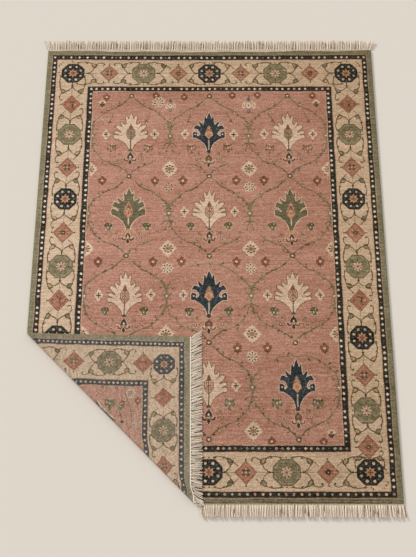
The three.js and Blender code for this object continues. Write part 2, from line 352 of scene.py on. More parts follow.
def navy_rosette(spot):
    lay("umber", eight_sided(60), spot)
    lay("navy", eight_sided(58.5), spot)
    for i in range(8):
        angle = pi * (i + 0.5) / 4
        half_on = angle + pi / 8
        dot("cream" if i % 4 in (0, 3) else "ash", spot, 43 * sin(angle), 43 * cos(angle),
            hand.uniform(6.2, 7.8), turn=-angle)
        dot("slate", spot, 46 * sin(half_on), 46 * cos(half_on), 3.6, 5)
    lay("umber", star(8, 30, 19), spot)
    lay("apricot", star(8, 27, 15), spot)
    lay("clay", rounded(13), spot)
    for i in range(4):
        gem("brick", spot, 9 * sin(pi * i / 2), 9 * cos(pi * i / 2), 3.6, 7.5, -pi * i / 2)
    lay("umber", rounded(3.5, 6), spot)


def green_rosette(spot):
    for dye, half in (("brown", 61.5), ("sage", 58)):
        lay(dye, eight_sided(half), spot)
    lay("ash", grown(eight_sided(52), -1.5), spot)
    lay("sage", eight_sided(48.5), spot)
    for i in range(8):
        petal = near(spot, 0, 0, -pi * i / 4)
        lay("fern", [(3, 34), (13, 39), (15, 50), (4, 54), (-4, 50), (-3, 41)], petal)
        gem("moss" if i % 2 else "brown", petal, 0, 38, 3.2, 5.5)
        dot("brown", petal, 11, 45, 2.6, 5)
    lay("brown", star(8, 33, 20), spot)
    for i in range(8):
        petal = near(spot, 0, 0, -pi * i / 4)
        lay("cream", [(0, 5), (4, 12), (4.6, 21), (0, 28), (-4.6, 21), (-4, 12)], petal)
        gem("apricot", petal, 0, 17, 2.2, 7)
    lay("clay", rounded(6.5), spot)
    lay("umber", rounded(3, 6), spot)


def diamond(spot, kind, wide, tall):
    """A diamond with a stem above and below, and one of three kinds of flower in it."""
    for dye, more in (("umber", 3), ("terracotta", 0.5)):
        lay(dye, lozenge(wide + more, tall + more), spot)
    for dye, share in (("pink" if kind < 2 else "brick", 0.74), ("terracotta", 0.66)):
        lay(dye, lozenge(wide * share, tall * share), spot)
    if kind == 0:
        lay("brick", lozenge(wide * 0.46, tall * 0.46), spot)
        four_ways(lambda a, b: dot("olive", spot, 11 * a, 10 * b, 7))
        lay("ash", rounded(6.5, 6), spot)
        for a in (1, -1):
            dot("blush", spot, 16 * a, 0, 4.5, 5)
            dot("blush", spot, 0, 16 * a, 4.5, 5)
    elif kind == 1:
        for i in range(8):
            angle, out = pi * i / 4, 21 if i % 2 else 25
            gem("apricot" if i % 2 else "pink", spot, out * sin(angle), out * cos(angle), 3.6, 6, -angle)
        lay("brown", rounded(13, 8, 1.15), spot)
        lay("umber" if hand.random() < 0.5 else "moss", rounded(9.5, 8, 1.2), spot)
        lay("ash", lozenge(3.6, 5), spot)
    else:
        for x, y, dye in ((-12, 8, "umber"), (2, 22, "apricot"), (12, 6, "olive"), (-3, -8, "clay"),
                          (8, -20, "apricot"), (-8, 26, "pink"), (16, -8, "tan"), (-18, -4, "olive"),
                          (-10, -20, "tan"), (2, 6, "umber"), (20, 12, "brick"), (0, -32, "brick")):
            dot(dye, spot, x, y, hand.uniform(3.4, 6), 6, hand.uniform(0.8, 1.5), hand.uniform(-0.6, 0.6))
    for b in (1, -1):
        vine("olive", [(0, b * tall), (0, b * (tall + 10))], 4.4, spot)
        gem("olive", spot, 0, b * (tall + 9), 6, 4)


USUAL_HALF_PITCH = 180
RIGHT_ONLY = [(1, 1), (1, -1)]
LEFT_ONLY = [(-1, 1), (-1, -1)]


def border_vines(spot, before, after, quarters=RIGHT_ONLY + LEFT_ONLY):
    """The vine round one rosette. before and after are how far the next diamonds are along the band."""
    def quarter(a, b):
        if (a, b) not in quarters:
            return
        reach = (after if a > 0 else before) / USUAL_HALF_PITCH

        def at(x, y):
            return (a * x * (reach if x > 70 else 1) + hand.uniform(-1.5, 1.5), b * y + hand.uniform(-1, 1))

        def through(*places):
            return [at(*place) for place in places]

        vine("olive", through((80, 1), (90, 8), (100, 20), (106, 36)), 5.2, spot, 0.6)
        vine("olive", through((102, 50), (90, 62), (72, 69), (50, 71), (30, 69), (16, 67)), 5, spot, 0.6)
        straight = hand.random() < 0.45
        if straight:
            dye = hand.choice(("brown", "clay", "olive"))
            vine(dye, through((104, 62), (118, 50), (140, 28)), 4.2, spot)
        else:
            vine("olive", through((106, 52), (120, 60), (136, 66), (150, 64), (158, 55)), 4.6, spot)
        heart = hand.choice(("tan", "apricot", "apricot", "fern", "tan"))
        for dye, root, tip, width in (("olive", (112, 34), (90, 66), 24), (heart, (110, 39), (94, 61), 13),
                                      ("olive", (118, 58), (110, 32), 9), ("brown", (62, 70), (74, 60), 7),
                                      ("olive", (32, 69), (22, 61), 7)):
            leaf(dye, at(*root), at(*tip), width, spot)
        if not straight:
            leaf("olive", at(156, 58), at(149, 46), 8, spot)

    four_ways(quarter)
    for a in (1, -1):
        if (a, 1) in quarters:
            reach = (after if a > 0 else before) / USUAL_HALF_PITCH
            vine("umber", [(59 * a, 0), (82 * a * reach, 0)], 5.4, spot)
            vine("tan", [(84 * a * reach, 0), (126 * a * reach, 0)], 3.4, spot, 0.3)
            gem("umber", spot, 74 * a * reach, 0, 7, 7)
            gem("brown", spot, 0, 67 * a, 4, 5)


# Where the motifs stand along each band: N navy rosettes, G green ones and D diamonds.
ROSETTES = {"N": navy_rosette, "G": green_rosette}
END_MOTIFS = [(-712, "N"), (-523, "D"), (-343, "G"), (-163, "D"), (0, "N"), (163, "D"), (343, "G"),
              (525, "D"), (712, "N")]
SIDE_MOTIFS = [(1055, "N"), (860, "D"), (680, "G"), (487, "D"), (308, "N"), (122, "D"), (-60, "G"),
               (-238, "D"), (-425, "N"), (-610, "D"), (-778, "G"), (-950, "D"), (-1062, "N")]
CORNER_SIDE_MOTIFS = [(120, "N"), (215, "D"), (370, "G"), (532, "D"), (694, "N"), (820, "D")]
CORNER_END_MOTIFS = [(138, "N"), (298, "D"), (453, "G"), (615, "D"), (760, "N")]
SIDE_X = 712
END_GAP = 170
ROOM_FOR_VINES = 120


def run_of_motifs(motifs, spot_of, side, wide, tall, kinds=(2, 0, 1)):
    """One band's motifs. A side's run leaves the rosettes at its ends to the runs along the ends."""
    for i, (place, kind) in enumerate(motifs):
        spot = spot_of(place)
        if kind == "D":
            spot = near(spot, hand.uniform(-1.5, 1.5), hand.uniform(-1.5, 1.5))
            diamond(spot, kinds[(i // 2) % len(kinds)], wide, tall)
            continue
        first, last = i == 0, i == len(motifs) - 1
        before = END_GAP if first else abs(place - motifs[i - 1][0])
        after = END_GAP if last else abs(place - motifs[i + 1][0])
        if not first:
            border_vines(spot, before, after, LEFT_ONLY if last and kind == "N" else RIGHT_ONLY + LEFT_ONLY)
        elif after >= ROOM_FOR_VINES:
            border_vines(spot, before, after, RIGHT_ONLY)
        if not (side and (first or last)):
            ROSETTES[kind](near(spot, 0, 0, 0, 0.94 if spot[5] == TURNED and kind == "N" else 1))


for x in (-SIDE_X, SIDE_X):
    run_of_motifs(SIDE_MOTIFS, lambda y: (x, y, -pi / 2, 1, 0.95, LYING), True, 55, 50)
run_of_motifs(END_MOTIFS, lambda x: (x, 1054, 0, 1, 1, LYING), False, 46, 49, (0, 1))
run_of_motifs(END_MOTIFS, lambda x: (x, -1062, 0, 1, 1, LYING), False, 48, 52, (2, 1, 0, 1))
run_of_motifs(CORNER_SIDE_MOTIFS, lambda d: corner_spot(134, d, pi / 2, 0.9), True, 51, 50)
run_of_motifs(CORNER_END_MOTIFS, lambda s: corner_spot(s, 119, 0, 0.88), False, 50, 50)

# Small sprigs in the lying corners, outside their rosettes.
for x, y in ((-SIDE_X, 1054), (SIDE_X, 1054), (SIDE_X, -1062)):
    out_x, out_y = (1 if x > 0 else -1), (1 if y > 0 else -1)
    for right, up, angle in ((66, 58, 0.4), (56, 70, 1.2), (74, 46, 0.2), (74, 4, 1.5), (8, 74, 0.1),
                             (66, -14, 0.9)):
        sprig = (x + out_x * right, y + out_y * up, angle, 1, 1, LYING)
        lay(hand.choice(("olive", "brown", "fern")), lozenge(3.6, 9), sprig)


# The field's motifs, drawn round the tip or the middle of each: the palmette with its cup and stem, the
# lattice of vines, and the small flowers that fill the openings.

HOOKED_PALMETTE = mirrored([
    (0, 2), (4, -10), (8, -22), (12, -36), (15, -40), (18, -30), (22, -21), (24, -34), (26, -52), (27, -66),
    (30, -77), (36, -73), (44, -65), (53, -54), (54, -66), (50, -78), (45, -88), (51, -87), (60, -82),
    (71, -79), (77, -88), (84, -102), (72, -103), (62, -105), (54, -113), (49, -124), (47, -134), (53, -143),
    (60, -146), (64, -139), (60, -131), (63, -124), (72, -120), (82, -117), (87, -128), (86, -156),
    (68, -157), (56, -164), (41, -174), (28, -187), (18, -203), (12, -219), (9, -232), (0, -238)])
LOBED_PALMETTE = mirrored([
    (0, 2), (5, -8), (10, -20), (14, -34), (17, -39), (20, -29), (26, -20), (27, -34), (24, -50), (24, -62),
    (29, -73), (38, -69), (48, -63), (60, -54), (59, -66), (54, -76), (46, -85), (56, -84), (66, -79),
    (77, -77), (80, -90), (86, -102), (76, -105), (64, -111), (54, -121), (50, -132), (60, -127), (72, -118),
    (87, -117), (91, -130), (88, -151), (72, -155), (58, -161), (43, -172), (29, -187), (19, -203),
    (12, -220), (9, -234), (0, -240)])
OPEN_PALMETTE = mirrored([
    (0, -4), (4, -16), (8, -30), (12, -42), (17, -39), (21, -26), (27, -19), (29, -40), (24, -58), (25, -72),
    (31, -78), (40, -71), (51, -59), (51, -72), (47, -82), (43, -90), (54, -85), (66, -79), (77, -81),
    (75, -94), (65, -104), (53, -114), (47, -125), (58, -122), (70, -115), (83, -114), (86, -125),
    (75, -131), (64, -135), (59, -141), (72, -138), (85, -137), (89, -150), (81, -159), (66, -159),
    (51, -168), (35, -180), (22, -195), (14, -210), (9, -222), (8, -228), (0, -229)])
BUD = mirrored([(0, -74), (6, -83), (11, -91), (9, -97), (16, -103), (20, -112), (17, -118), (23, -124),
                (25, -134), (23, -144), (16, -153), (8, -163), (0, -172)])
CREAM_BUD = mirrored([(0, -70), (7, -84), (10, -96), (18, -106), (23, -118), (22, -132), (25, -142),
                      (15, -155), (6, -166), (0, -170)])


def curls(spot, dye, low=0, drop_dye=None):
    """The two thin arms that curl up beside a cup, and the drop between them."""
    for a in (1, -1):
        arm = [(4 * a, -282 - low), (14 * a, -291 - low), (25 * a, -289 - low), (31 * a, -277 - low)]
        vine("blush", [(0, -278 - low)] + arm + [(30 * a, -268 - low)], 14, spot, 0.7)
        vine(dye, arm, 7, spot, 0.7)
        gem("cream", spot, 21 * a, -277 - low, 3.4, 5.5)
    drop = mirrored([(0, -284 - low), (7, -291 - low), (7.5, -302 - low), (0, -313 - low)])
    lay("blush", grown(drop, 3.4), spot)
    lay(drop_dye or dye, drop, spot)


def bits_beside(spot):
    """The small scrolls and buds that fill the ground on both sides of a cup."""
    for a in (1, -1):
        vines(spot, a, (("blush", 4.4, 0.6, (12, -226), (24, -236), (31, -248), (29, -258)),
                        ("clay", 3.6, 0.6, (38, -236), (47, -246), (46, -258), (38, -264))))
        dot("fern", spot, 54 * a, -250, 6, 6, 1.5, 0.3 * a)
        gem(hand.choice(("blush", "pink")), spot, 66 * a, -236, 4, 6)
        gem(hand.choice(("brown", "rust")), spot, 42 * a, -282, 3.4, 5, 0.4 * a)
        gem(hand.choice(("blush", "clay")), spot, 60 * a, -276, 4, 3.4)
        vines(spot, a, [("fern", 3.2, 0.6, (74, -262), (82, -272), (94, -276))])
        dot("brown", spot, 61 * a, -283 + 3 * a, 7, 7, 1.3)
        gem("cream", spot, 61 * a, -282 + 3 * a, 3.4, 6)
        vines(spot, a, (("clay", 3.4, 0.6, (86, -236), (98, -244), (104, -258), (98, -268)),
                        ("fern", 3.2, 0.7, (44, -296), (58, -306), (74, -304), (84, -294))))


def navy_palmette(spot):
    bits_beside(spot)
    spot = widened(spot, 0.96)
    lay("cream", grown(HOOKED_PALMETTE, 3.4), spot)
    lay("indigo", HOOKED_PALMETTE, spot)
    for a in (1, -1):
        gem("cream", spot, 73 * a, -135, 5, 5)
        vines(spot, a, [("slate", 2.6, 0.6, (36, -92), (44, -112), (40, -140), (24, -170))])
    bud = near(spot, 0, -14, 0, 0.88)
    for dye, by in (("umber", 2), ("clay", -0.4), ("apricot", -3)):
        lay(dye, grown(BUD, by), bud)
    lay("terracotta", mirrored([(0, -100), (14, -104), (19, -114), (14, -121), (6, -116), (0, -112)]), bud)
    lay("tan", mirrored([(0, -77), (5, -85), (8, -93), (0, -101)]), bud)
    lay("clay", mirrored([(0, -124), (9, -132), (10, -144), (0, -158)]), bud)
    gem("apricot", bud, 0, -140, 3.5, 9)
    for a in (1, -1):
        gem("cream", bud, 22 * a, -143, 2.6, 5, 0.5 * a)
    vine("ash", [(0, -168), (0, -228)], 8, spot, 0.3)
    lay("umber", mirrored([(0, -230), (10, -234), (11, -241), (5, -247), (0, -262)]), spot)
    cup = mirrored([(0, -252), (8, -262), (17, -271), (19, -284), (14, -296), (8, -302), (0, -304)])
    lay("blush", grown(cup, 3.6), spot)
    lay("brown", cup, spot)
    lay("rust", mirrored([(0, -262), (8, -272), (10, -284), (0, -290)]), spot)
    dot("clay", spot, 0, -277, 5.5)
    curls(spot, "brown", 18, "indigo")
    gem("cream", spot, 0, -297, 3.6, 9)


def cream_palmette(spot):
    bits_beside(spot)
    spot = widened(spot, 0.96)
    lay("brown", grown(OPEN_PALMETTE, 3.4), spot)
    lay("cream", OPEN_PALMETTE, spot)
    for a in (1, -1):
        vines(spot, a, (("clay", 3, 0.3, (45, -89), (36, -100)),
                        ("clay", 3, 0.3, (60, -140), (48, -140), (40, -132))))
    lay("brown", CREAM_BUD, spot)
    lay("tan" if spot[1] > 600 else "blush", grown(CREAM_BUD, -3.2), spot)
    lay("rust", mirrored([(0, -78), (6, -90), (10, -101), (4, -108), (0, -104)]), spot)
    for a in (1, -1):
        vines(spot, a, (("brown", 3.4, 0.3, (0, -124), (9, -136), (15, -146)),
                        ("rust", 3.2, 0.2, (11, -110), (12, -126)),
                        ("brown", 2.8, 0.2, (2, -150), (10, -146))))
        gem("pink", spot, 6 * a, -112, 4, 6)
    gem("brick", spot, 0, -92, 5, 12)
    vine("brown", [(0, -108), (0, -166)], 3.6, spot, 0.3)
    vine("brown", [(0, -160), (0, -222)], 6, spot, 0.3)
    lay("moss", eight_sided(8.5), near(spot, 0, -228))
    cup = mirrored([(0, -236), (4, -246), (11, -254), (16, -264), (15, -276), (9, -286), (0, -290)])
    lay("blush", grown(cup, 3.4), spot)
    lay("umber", cup, spot)
    dot("slate", spot, 0, -266, 8, 7)
    dot("pearl", spot, 0, -267, 4.6, 6, 1.2)
    curls(spot, "umber")


def green_palmette(spot):
    bits_beside(spot)
    spot = widened(spot, 0.9)
    lay("cream", grown(LOBED_PALMETTE, 3.6), spot)
    lay("leaf", LOBED_PALMETTE, spot)
    for a in (1, -1):
        vines(spot, a, (("moss", 3.4, 0.8, (30, -82), (42, -102), (40, -138), (24, -172)),
                        ("fern", 3, 0.5, (40, -140), (58, -144), (74, -140))))
    lay("brick", grown(BUD, 2), spot)
    lay("pink", BUD, spot)
    lay("brick", mirrored([(0, -92), (9, -108), (14, -122), (6, -118), (0, -108)]), spot)
    lay("apricot", mirrored([(0, -118), (9, -132), (9, -150), (0, -160)]), spot)
    gem("brown", spot, 0, -140, 4, 9)
    for a in (1, -1):
        gem("brick", spot, 18 * a, -134, 3.4, 6)
    vine("cream", [(0, -168), (0, -212)], 6.4, spot, 0.3)
    vine("brown", [(0, -206), (0, -240)], 9, spot, 0.3)
    lay("apricot", mirrored([(0, -224), (8, -238), (18, -254), (16, -266), (8, -258), (0, -252)]), spot)
    cup = mirrored([(0, -250), (8, -258), (13, -270), (12, -282), (0, -291)])
    lay("blush", grown(cup, 2.6), spot)
    lay("umber", cup, spot)
    gem("pearl", spot, 0, -272, 4, 9)
    curls(spot, "umber")


def lattice_node(spot):
    lay("moss", rounded(14, 8, 1.05), spot)
    lay("brown", lozenge(12, 13), spot)
    lay("cream", rounded(6), spot)


def junction(spot):
    """Where two vines touch between the palmettes: a stem with a small flower, and thin curled arms."""
    vine("fern", [(0, 44), (0, -56)], 8, spot)
    lay("fern", rounded(15, 8, 0.95), spot)
    for a in (1, -1):
        vines(spot, a, (("fern", 6, 0.8, (2, 34), (9, 56), (20, 74)),
                        ("fern", 4.6, 0.8, (2, -48), (9, -66), (14, -80), (16, -96)),
                        ("fern", 4.4, 0.6, (4, 38), (18, 44), (30, 38)),
                        ("fern", 4.4, 0.6, (4, 4), (16, 8), (24, 16)),
                        ("fern", 4, 0.6, (4, -14), (16, -16), (24, -24)),
                        ("olive", 4, 0.6, (4, -46), (16, -46), (28, -54), (32, -64))))
        for dye, x, y, wide, tall in (("olive", 30, 40, 5, 4), ("blush", 22, 52, 4, 4),
                                      ("ash", 30, -46, 4, 4), ("olive", 16, -92, 4.5, 7)):
            gem(dye, spot, x * a, y, wide, tall)
        vines(spot, a, (("clay", 3.2, 0.7, (18, -94), (34, -108), (52, -110), (60, -98)),
                        ("fern", 3.4, 0.7, (22, 76), (38, 88), (58, 88), (66, 76), (58, 68))))
        gem("brown", spot, 50 * a, -104, 3.4, 6, 0.5)
        gem("blush", spot, 56 * a, 80, 5, 4)
    lay("blush", star(4, 10, 5), spot)
    lay("pearl", rounded(4.6, 6), spot)


def cross_flower(spot):
    petals = mirrored([(0, 32), (8, 25), (10, 15), (18, 11), (24, 0), (18, -10), (10, -14), (8, -25),
                       (0, -32)])
    lay("clay", grown(petals, 1.4), spot)
    lay("cream", petals, spot)
    lay("umber", mirrored([(0, 16), (2.6, 12), (2.2, 3), (9, 3), (12, 0), (9, -3), (2.2, -3), (2.6, -12),
                           (0, -16)]), spot)
    four_ways(lambda a, b: gem("blush", spot, 9 * a, 11 * b, 3.4, 3.4))


def tulip(spot, leafy="fern", dark="olive"):
    """A small ragged flower: a few lobes in two dark dyes with pale spots between, and a leaf below."""
    flip = hand.choice((1, -1))
    dot("blush", spot, 0, 1, 25, 9, 1.05)
    lay(leafy, [(-4, 14), (-10, 22), (-19, 19), (-24, 8), (-25, -4), (-20, -15), (-12, -17), (-7, -12),
                (-6, -26), (0, -35), (7, -26), (7, -13), (15, -18), (22, -13), (25, -2), (23, 9), (15, 17),
                (8, 13), (5, 22), (0, 12)], spot)
    for x, y, wide, tall, turn in ((-17, 13, 6, 9, 0.7), (-5, 8, 4.5, 11, 0), (7, 12, 4, 9, -0.6),
                                   (5, -22, 4.4, 11, 0.1), (-21, -7, 4, 8, 0.3), (20, -10, 4, 8, -0.6)):
        gem(dark, spot, flip * x, y, wide, tall, flip * turn)
    gem("brown", spot, flip * 17, 17, 4, 6, 0.8)
    gem("brown", spot, flip * -15, -17, 3, 5, -0.7)
    dot("cream", spot, flip * 1, -1, 4.4, 6, 1.2)
    dot("ash", spot, flip * 14, 4, 5, 6, 1.5, -0.4)
    gem("blush", spot, flip * -11, 18, 3, 5, 0.4)


def round_bud(spot):
    """A round bud with an olive cap and pale stripes below it."""
    lay("blush", rounded(24, 10, 1.08), spot)
    lay("fern", rounded(21, 9, 1.1), spot)
    lay("olive", mirrored([(0, 23), (11, 21), (20, 12), (21, 1), (15, 4), (10, -3), (5, 5), (0, 0)]), spot)
    for x, y, dye in ((-15, -5, "blush"), (-7, -8, "olive"), (-2, -5, "cream"), (4, -14, "brown"),
                      (8, -4, "olive"), (14, -7, "cream"), (-10, -16, "cream"), (-8, 12, "fern"),
                      (7, 13, "ash")):
        gem(dye, spot, x, y, 3.3, 6.6, hand.uniform(-0.3, 0.3))


def star_rosette(spot):
    spot = widened(spot, 1.2)
    outline = mirrored([(0, 51), (5, 38), (12, 39), (13, 29), (22, 25), (22, 15), (31, 11), (29, 5), (38, 0),
                        (29, -5), (31, -11), (22, -15), (22, -25), (13, -29), (12, -39), (5, -38), (0, -51)])
    lay("clay", grown(outline, 1.2), spot)
    lay("cream", outline, spot)
    for i in range(8):
        dot("brown", spot, 16 * sin(pi * i / 4), 19 * cos(pi * i / 4), 5)
    lay("clay", rounded(12), spot)
    lay("tan", star(4, 11, 5), spot)
    lay("brown", rounded(4, 6), spot)


def red_flower(spot):
    for i in range(5):
        petal = [(0, 3), (7, 8), (8.5, 17), (0, 20 if i else 25), (-8.5, 17), (-7, 8)]
        lay("brick", petal, near(spot, 0, 0, -2 * pi * i / 5))
    lay("brown", [(-3, -8), (3, -8), (5, -20), (0, -29), (-5, -20)], spot)
    lay("cream", rounded(5.5), spot)


def snowflake(spot, pale=True):
    lay("cream" if pale else "blush", star(8, 32, 23), spot)
    for i in range(8):
        angle = pi * i / 4
        gem("umber", spot, 18 * sin(angle), 19 * cos(angle), 3.7, 7, -angle)
        gem("tan", spot, 10 * sin(angle + 0.4), 10 * cos(angle + 0.4), 3, 3)
    lay("brown", rounded(3.4, 6), spot)


def three_petals(spot):
    """The small spray over each junction of the top row."""
    vine("olive", [(0, 70), (0, 22)], 3, spot)
    dot("slate", spot, 0, 45, 10, 8, 1.6)
    dot("slate", spot, 0, -40, 11, 8, 1.4)
    dot("ash", spot, 0, -38, 5)
    for x, wide, tall in ((-31, 11, 25), (31, 11, 25), (0, 17, 22)):
        gem("blush", spot, x, 0, wide + 2, tall + 3)
        dot("cream", spot, x, 0, wide, 8, tall / wide)
        gem("clay", spot, x, 0, 4, 11)
    for a in (1, -1):
        leaf("cream", (18 * a, 14), (24 * a, 38), 7, spot)
        vine("brown", [(4 * a, -24), (14 * a, -16)], 3, spot)


def crown_flower(spot):
    lay("umber", mirrored([(0, -8), (15, 4), (14, -10), (7, -24), (0, -30)]), spot)
    for i in range(-2, 3):
        lay("cream", [(-4, 0), (-6, 14), (0, 24), (6, 14), (4, 0)], near(spot, 0, -4, -0.6 * i))
    lay("rust", rounded(8, 8, 0.8), spot)
    lay("moss", mirrored([(0, -8), (8, -12), (6, -22), (0, -28)]), spot)


def twig(spot, side=1):
    vines(spot, side, [("olive", 3, 0.5, (0, 34), (-4, 16), (-12, 0), (-14, -20), (-24, -38))])
    for dye, root, tip, width in (("clay", (-6, 12), (2, 0), 8), ("brown", (-13, -8), (-20, -26), 9),
                                  ("olive", (-13, -16), (-2, -28), 6)):
        leaf(dye, (root[0] * side, root[1]), (tip[0] * side, tip[1]), width, spot)


# The field: three columns of four palmettes, the lattice of vines that crosses between them, and the
# small flowers, row by row. The knotter's count is never quite true, so nothing stands exactly in line.

COLUMNS = [-400, 0, 400]
TIPS = [812, 367, -82, -530]
PALMETTES = [[cream_palmette, navy_palmette, cream_palmette],
             [green_palmette, cream_palmette, green_palmette],
             [cream_palmette, navy_palmette, cream_palmette],
             [navy_palmette, cream_palmette, navy_palmette]]
NODES = [912, 437, -5, -452, -915]
JUNCTION_X = 200
JUNCTIONS = [672, 228, -215, -670]
ROSETTE_ROWS = [477, 35, -408, -875]
VINE_UP = [(0, 0), (15, 23), (40, 45), (70, 63), (100, 75), (130, 90), (155, 115), (175, 143), (190, 173),
           (197, 205), (200, 235)]
VINE_DOWN = [(0, 0), (33, -32), (58, -57), (90, -77), (118, -89), (143, -112), (168, -132), (183, -152),
             (193, -177), (198, -197), (200, -209)]
ARCH = [(0, -518), (40, -518), (80, -523), (115, -541), (146, -566), (176, -596), (192, -640), (197, -680)]
LOW_ARCH = [(-95, -62), (-50, -50), (0, -46), (55, -54), (110, -84), (160, -130), (192, -170)]

# How far each of a crossing's four vines is drawn: up left, up right, down left, down right. Nought leaves
# it out, and one follows it to the next crossing. One row for each column, from its far crossing nearer.
REACHES = [[(0, 0, 1, 1), (0.9, 0.5, 1, 1), (1, 0.5, 1, 1), (1, 1, 1, 1), (1, 1, 0, 0)],
           [(0, 0, 1, 1), (0.45, 0.45, 1, 1), (0.9, 0.6, 0, 0), (0.7, 0.7, 1, 1), (0.9, 0.9, 0, 0)],
           [(0, 0, 1, 1), (0.7, 1, 1, 1), (0.6, 1, 1, 0.8), (0.9, 0.9, 0, 0), (0.8, 1, 0, 0)]]
field_starts = len(chart)


def scatter(x, y, turn=0.03):
    """A spot of the lying cloth, as true as the knotter's count is."""
    return (x + hand.uniform(-2, 2), y + hand.uniform(-2, 2), hand.uniform(-turn, turn),
            hand.uniform(0.96, 1.04), hand.uniform(0.96, 1.04), LYING)


def lattice_vine(x, y, a, path, reach):
    """One of a crossing's vines with its leaves and thin twigs, as far as it reaches."""
    rise = 1 if path is VINE_UP else -1
    drawn = path[:max(2, round(reach * len(path)))]
    bent = [(x + a * dx + hand.uniform(-2, 2), y + dy + hand.uniform(-2, 2)) for dx, dy in drawn]
    vine("fern", bent, 5.6, AS_CHARTED, 1.4)
    if len(bent) > 6:
        vine("olive", bent[1:len(bent) // 2], 3.4, AS_CHARTED, 1)
    for i, (px, py) in enumerate(bent[1:-1]):
        onward = atan2(bent[i + 2][1] - py, bent[i + 2][0] - px)
        onward += hand.choice((-1, 1)) * hand.uniform(0.5, 0.9)
        if hand.random() < 0.8:
            tip = (px + 15 * cos(onward), py + 15 * sin(onward))
            leaf(hand.choice(("olive", "fern", "brown", "fern")), (px, py), tip, 9, AS_CHARTED)
        if i % 3 == 1:
            tip = (px + a * hand.uniform(6, 14), py - rise * hand.uniform(20, 30))
            vine("fern", [(px, py), (px + a * 2, py - rise * 12), tip], 3.2, AS_CHARTED, 0.7)
            root, tip = (px + a * 3, py - rise * 14), (px + a * 12, py - rise * 10)
            leaf(hand.choice(("clay", "brown")), root, tip, 6, AS_CHARTED)


for column, reaches in zip(COLUMNS, REACHES):
    for y, (up_left, up_right, down_left, down_right) in zip(NODES, reaches):
        for a, path, reach in ((-1, VINE_UP, up_left), (1, VINE_UP, up_right), (-1, VINE_DOWN, down_left),
                               (1, VINE_DOWN, down_right)):
            if reach:
                lattice_vine(column, y, a, path, reach)
vine("fern", LOW_ARCH, 5.6, AS_CHARTED, 1.4)
vine("fern", [(300, -540)] + [(400 - x, y) for x, y in ARCH[:3][::-1]] + [(400 + x, y) for x, y in ARCH], 6,
     AS_CHARTED, 1.4)
for x, y in ((310, -530), (360, -512), (455, -526), (505, -536), (548, -560), (580, -600), (-60, -46),
             (60, -50), (150, -112)):
    leaf(hand.choice(("olive", "moss", "brown")), (x, y),
         (x + hand.uniform(6, 16), y + hand.choice((-1, 1)) * 15), 8, AS_CHARTED)

for i, column in enumerate(COLUMNS):
    for y in NODES:
        lattice_node(scatter(column, y))
    for row, tip in enumerate(TIPS):
        PALMETTES[row][i](scatter(column, tip, 0.01))
        for a in (1, -1):
            place = scatter(column + 93 * a, tip - 212)
            if row in (1, 2):
                round_bud(place)
            elif row == 0:
                tulip(place, "clay", "brown")
            else:
                tulip(place)

for x in (-JUNCTION_X, JUNCTION_X):
    for y in JUNCTIONS:
        junction(scatter(x, y))
    for y in ROSETTE_ROWS:
        star_rosette(scatter(x, y))
    for y in (375, -70, -520):
        snowflake(scatter(x, y), x > 0 or y < 0)
    three_petals(near(scatter(x, 852), 0, 0, 0, 0.84 if x > 0 else 0.66))
for a in (1, -1):
    for y in JUNCTIONS:
        junction((592 * a, y, 0, 0.8, 1, LYING))
    for y in ROSETTE_ROWS[:3]:
        star_rosette((600 * a, y, 0, 1, 1, LYING))
    for y in (870, -880):
        crown_flower(scatter(550 * a, y))
BESIDE = 124
for y, places in ((680, [-400 + BESIDE, -400 - BESIDE, BESIDE, -BESIDE, 400 + BESIDE, 400 - BESIDE]),
                  (237, [BESIDE, -BESIDE]),
                  (-210, [-400 + BESIDE, -400 - BESIDE, 400 + BESIDE, 400 - BESIDE, -BESIDE]),
                  (-660, [BESIDE])):
    for x in places:
        cross_flower(scatter(x, y))
for x in (-535, -270, -133, 133, 270, 535):
    for y in (412, -34, -478):
        red_flower(near(scatter(x, y), 0, 0, 0, 1.15))
for x, y in ((-130, 905), (118, 917), (-275, 915), (248, 918), (-530, 905), (532, 915), (280, -922),
             (512, -925)):
    red_flower((x, y, 0, 1.05, 1, LYING))
snowflake(near(scatter(-262, 872), 0, 0, 0.4, 1.15))
for x in (-492, -308, -92, 92, 308, 492):
    twig(scatter(x, 775, 0.2), 1 if x < 0 else -1)


def within(shape, side, axis, sign):
    """The part of a shape on the inner side of one straight edge of the field."""
    kept = []
    for p, q in zip(shape, shape[1:] + shape[:1]):
        p_in, q_in = sign * p[axis] <= side, sign * q[axis] <= side
        if p_in:
            kept.append(p)
        if p_in != q_in:
            t = (sign * side - p[axis]) / (q[axis] - p[axis])
            kept.append((p[0] + (q[0] - p[0]) * t, p[1] + (q[1] - p[1]) * t))
    return kept


for i in range(field_starts, len(chart)):
    dye, part, shape = chart[i]
    for side, axis, sign in ((597, 0, 1), (597, 0, -1), (937, 1, 1), (936, 1, -1)):
        shape = within(shape, side, axis, sign)
    chart[i] = (dye, part, shape)
chart = [patch for patch in chart if len(patch[2]) > 2]


# What shows of the field on the turned corner's back: a few flowers, twigs and a palmette's hook, by
# their distances from the corner's two edges.

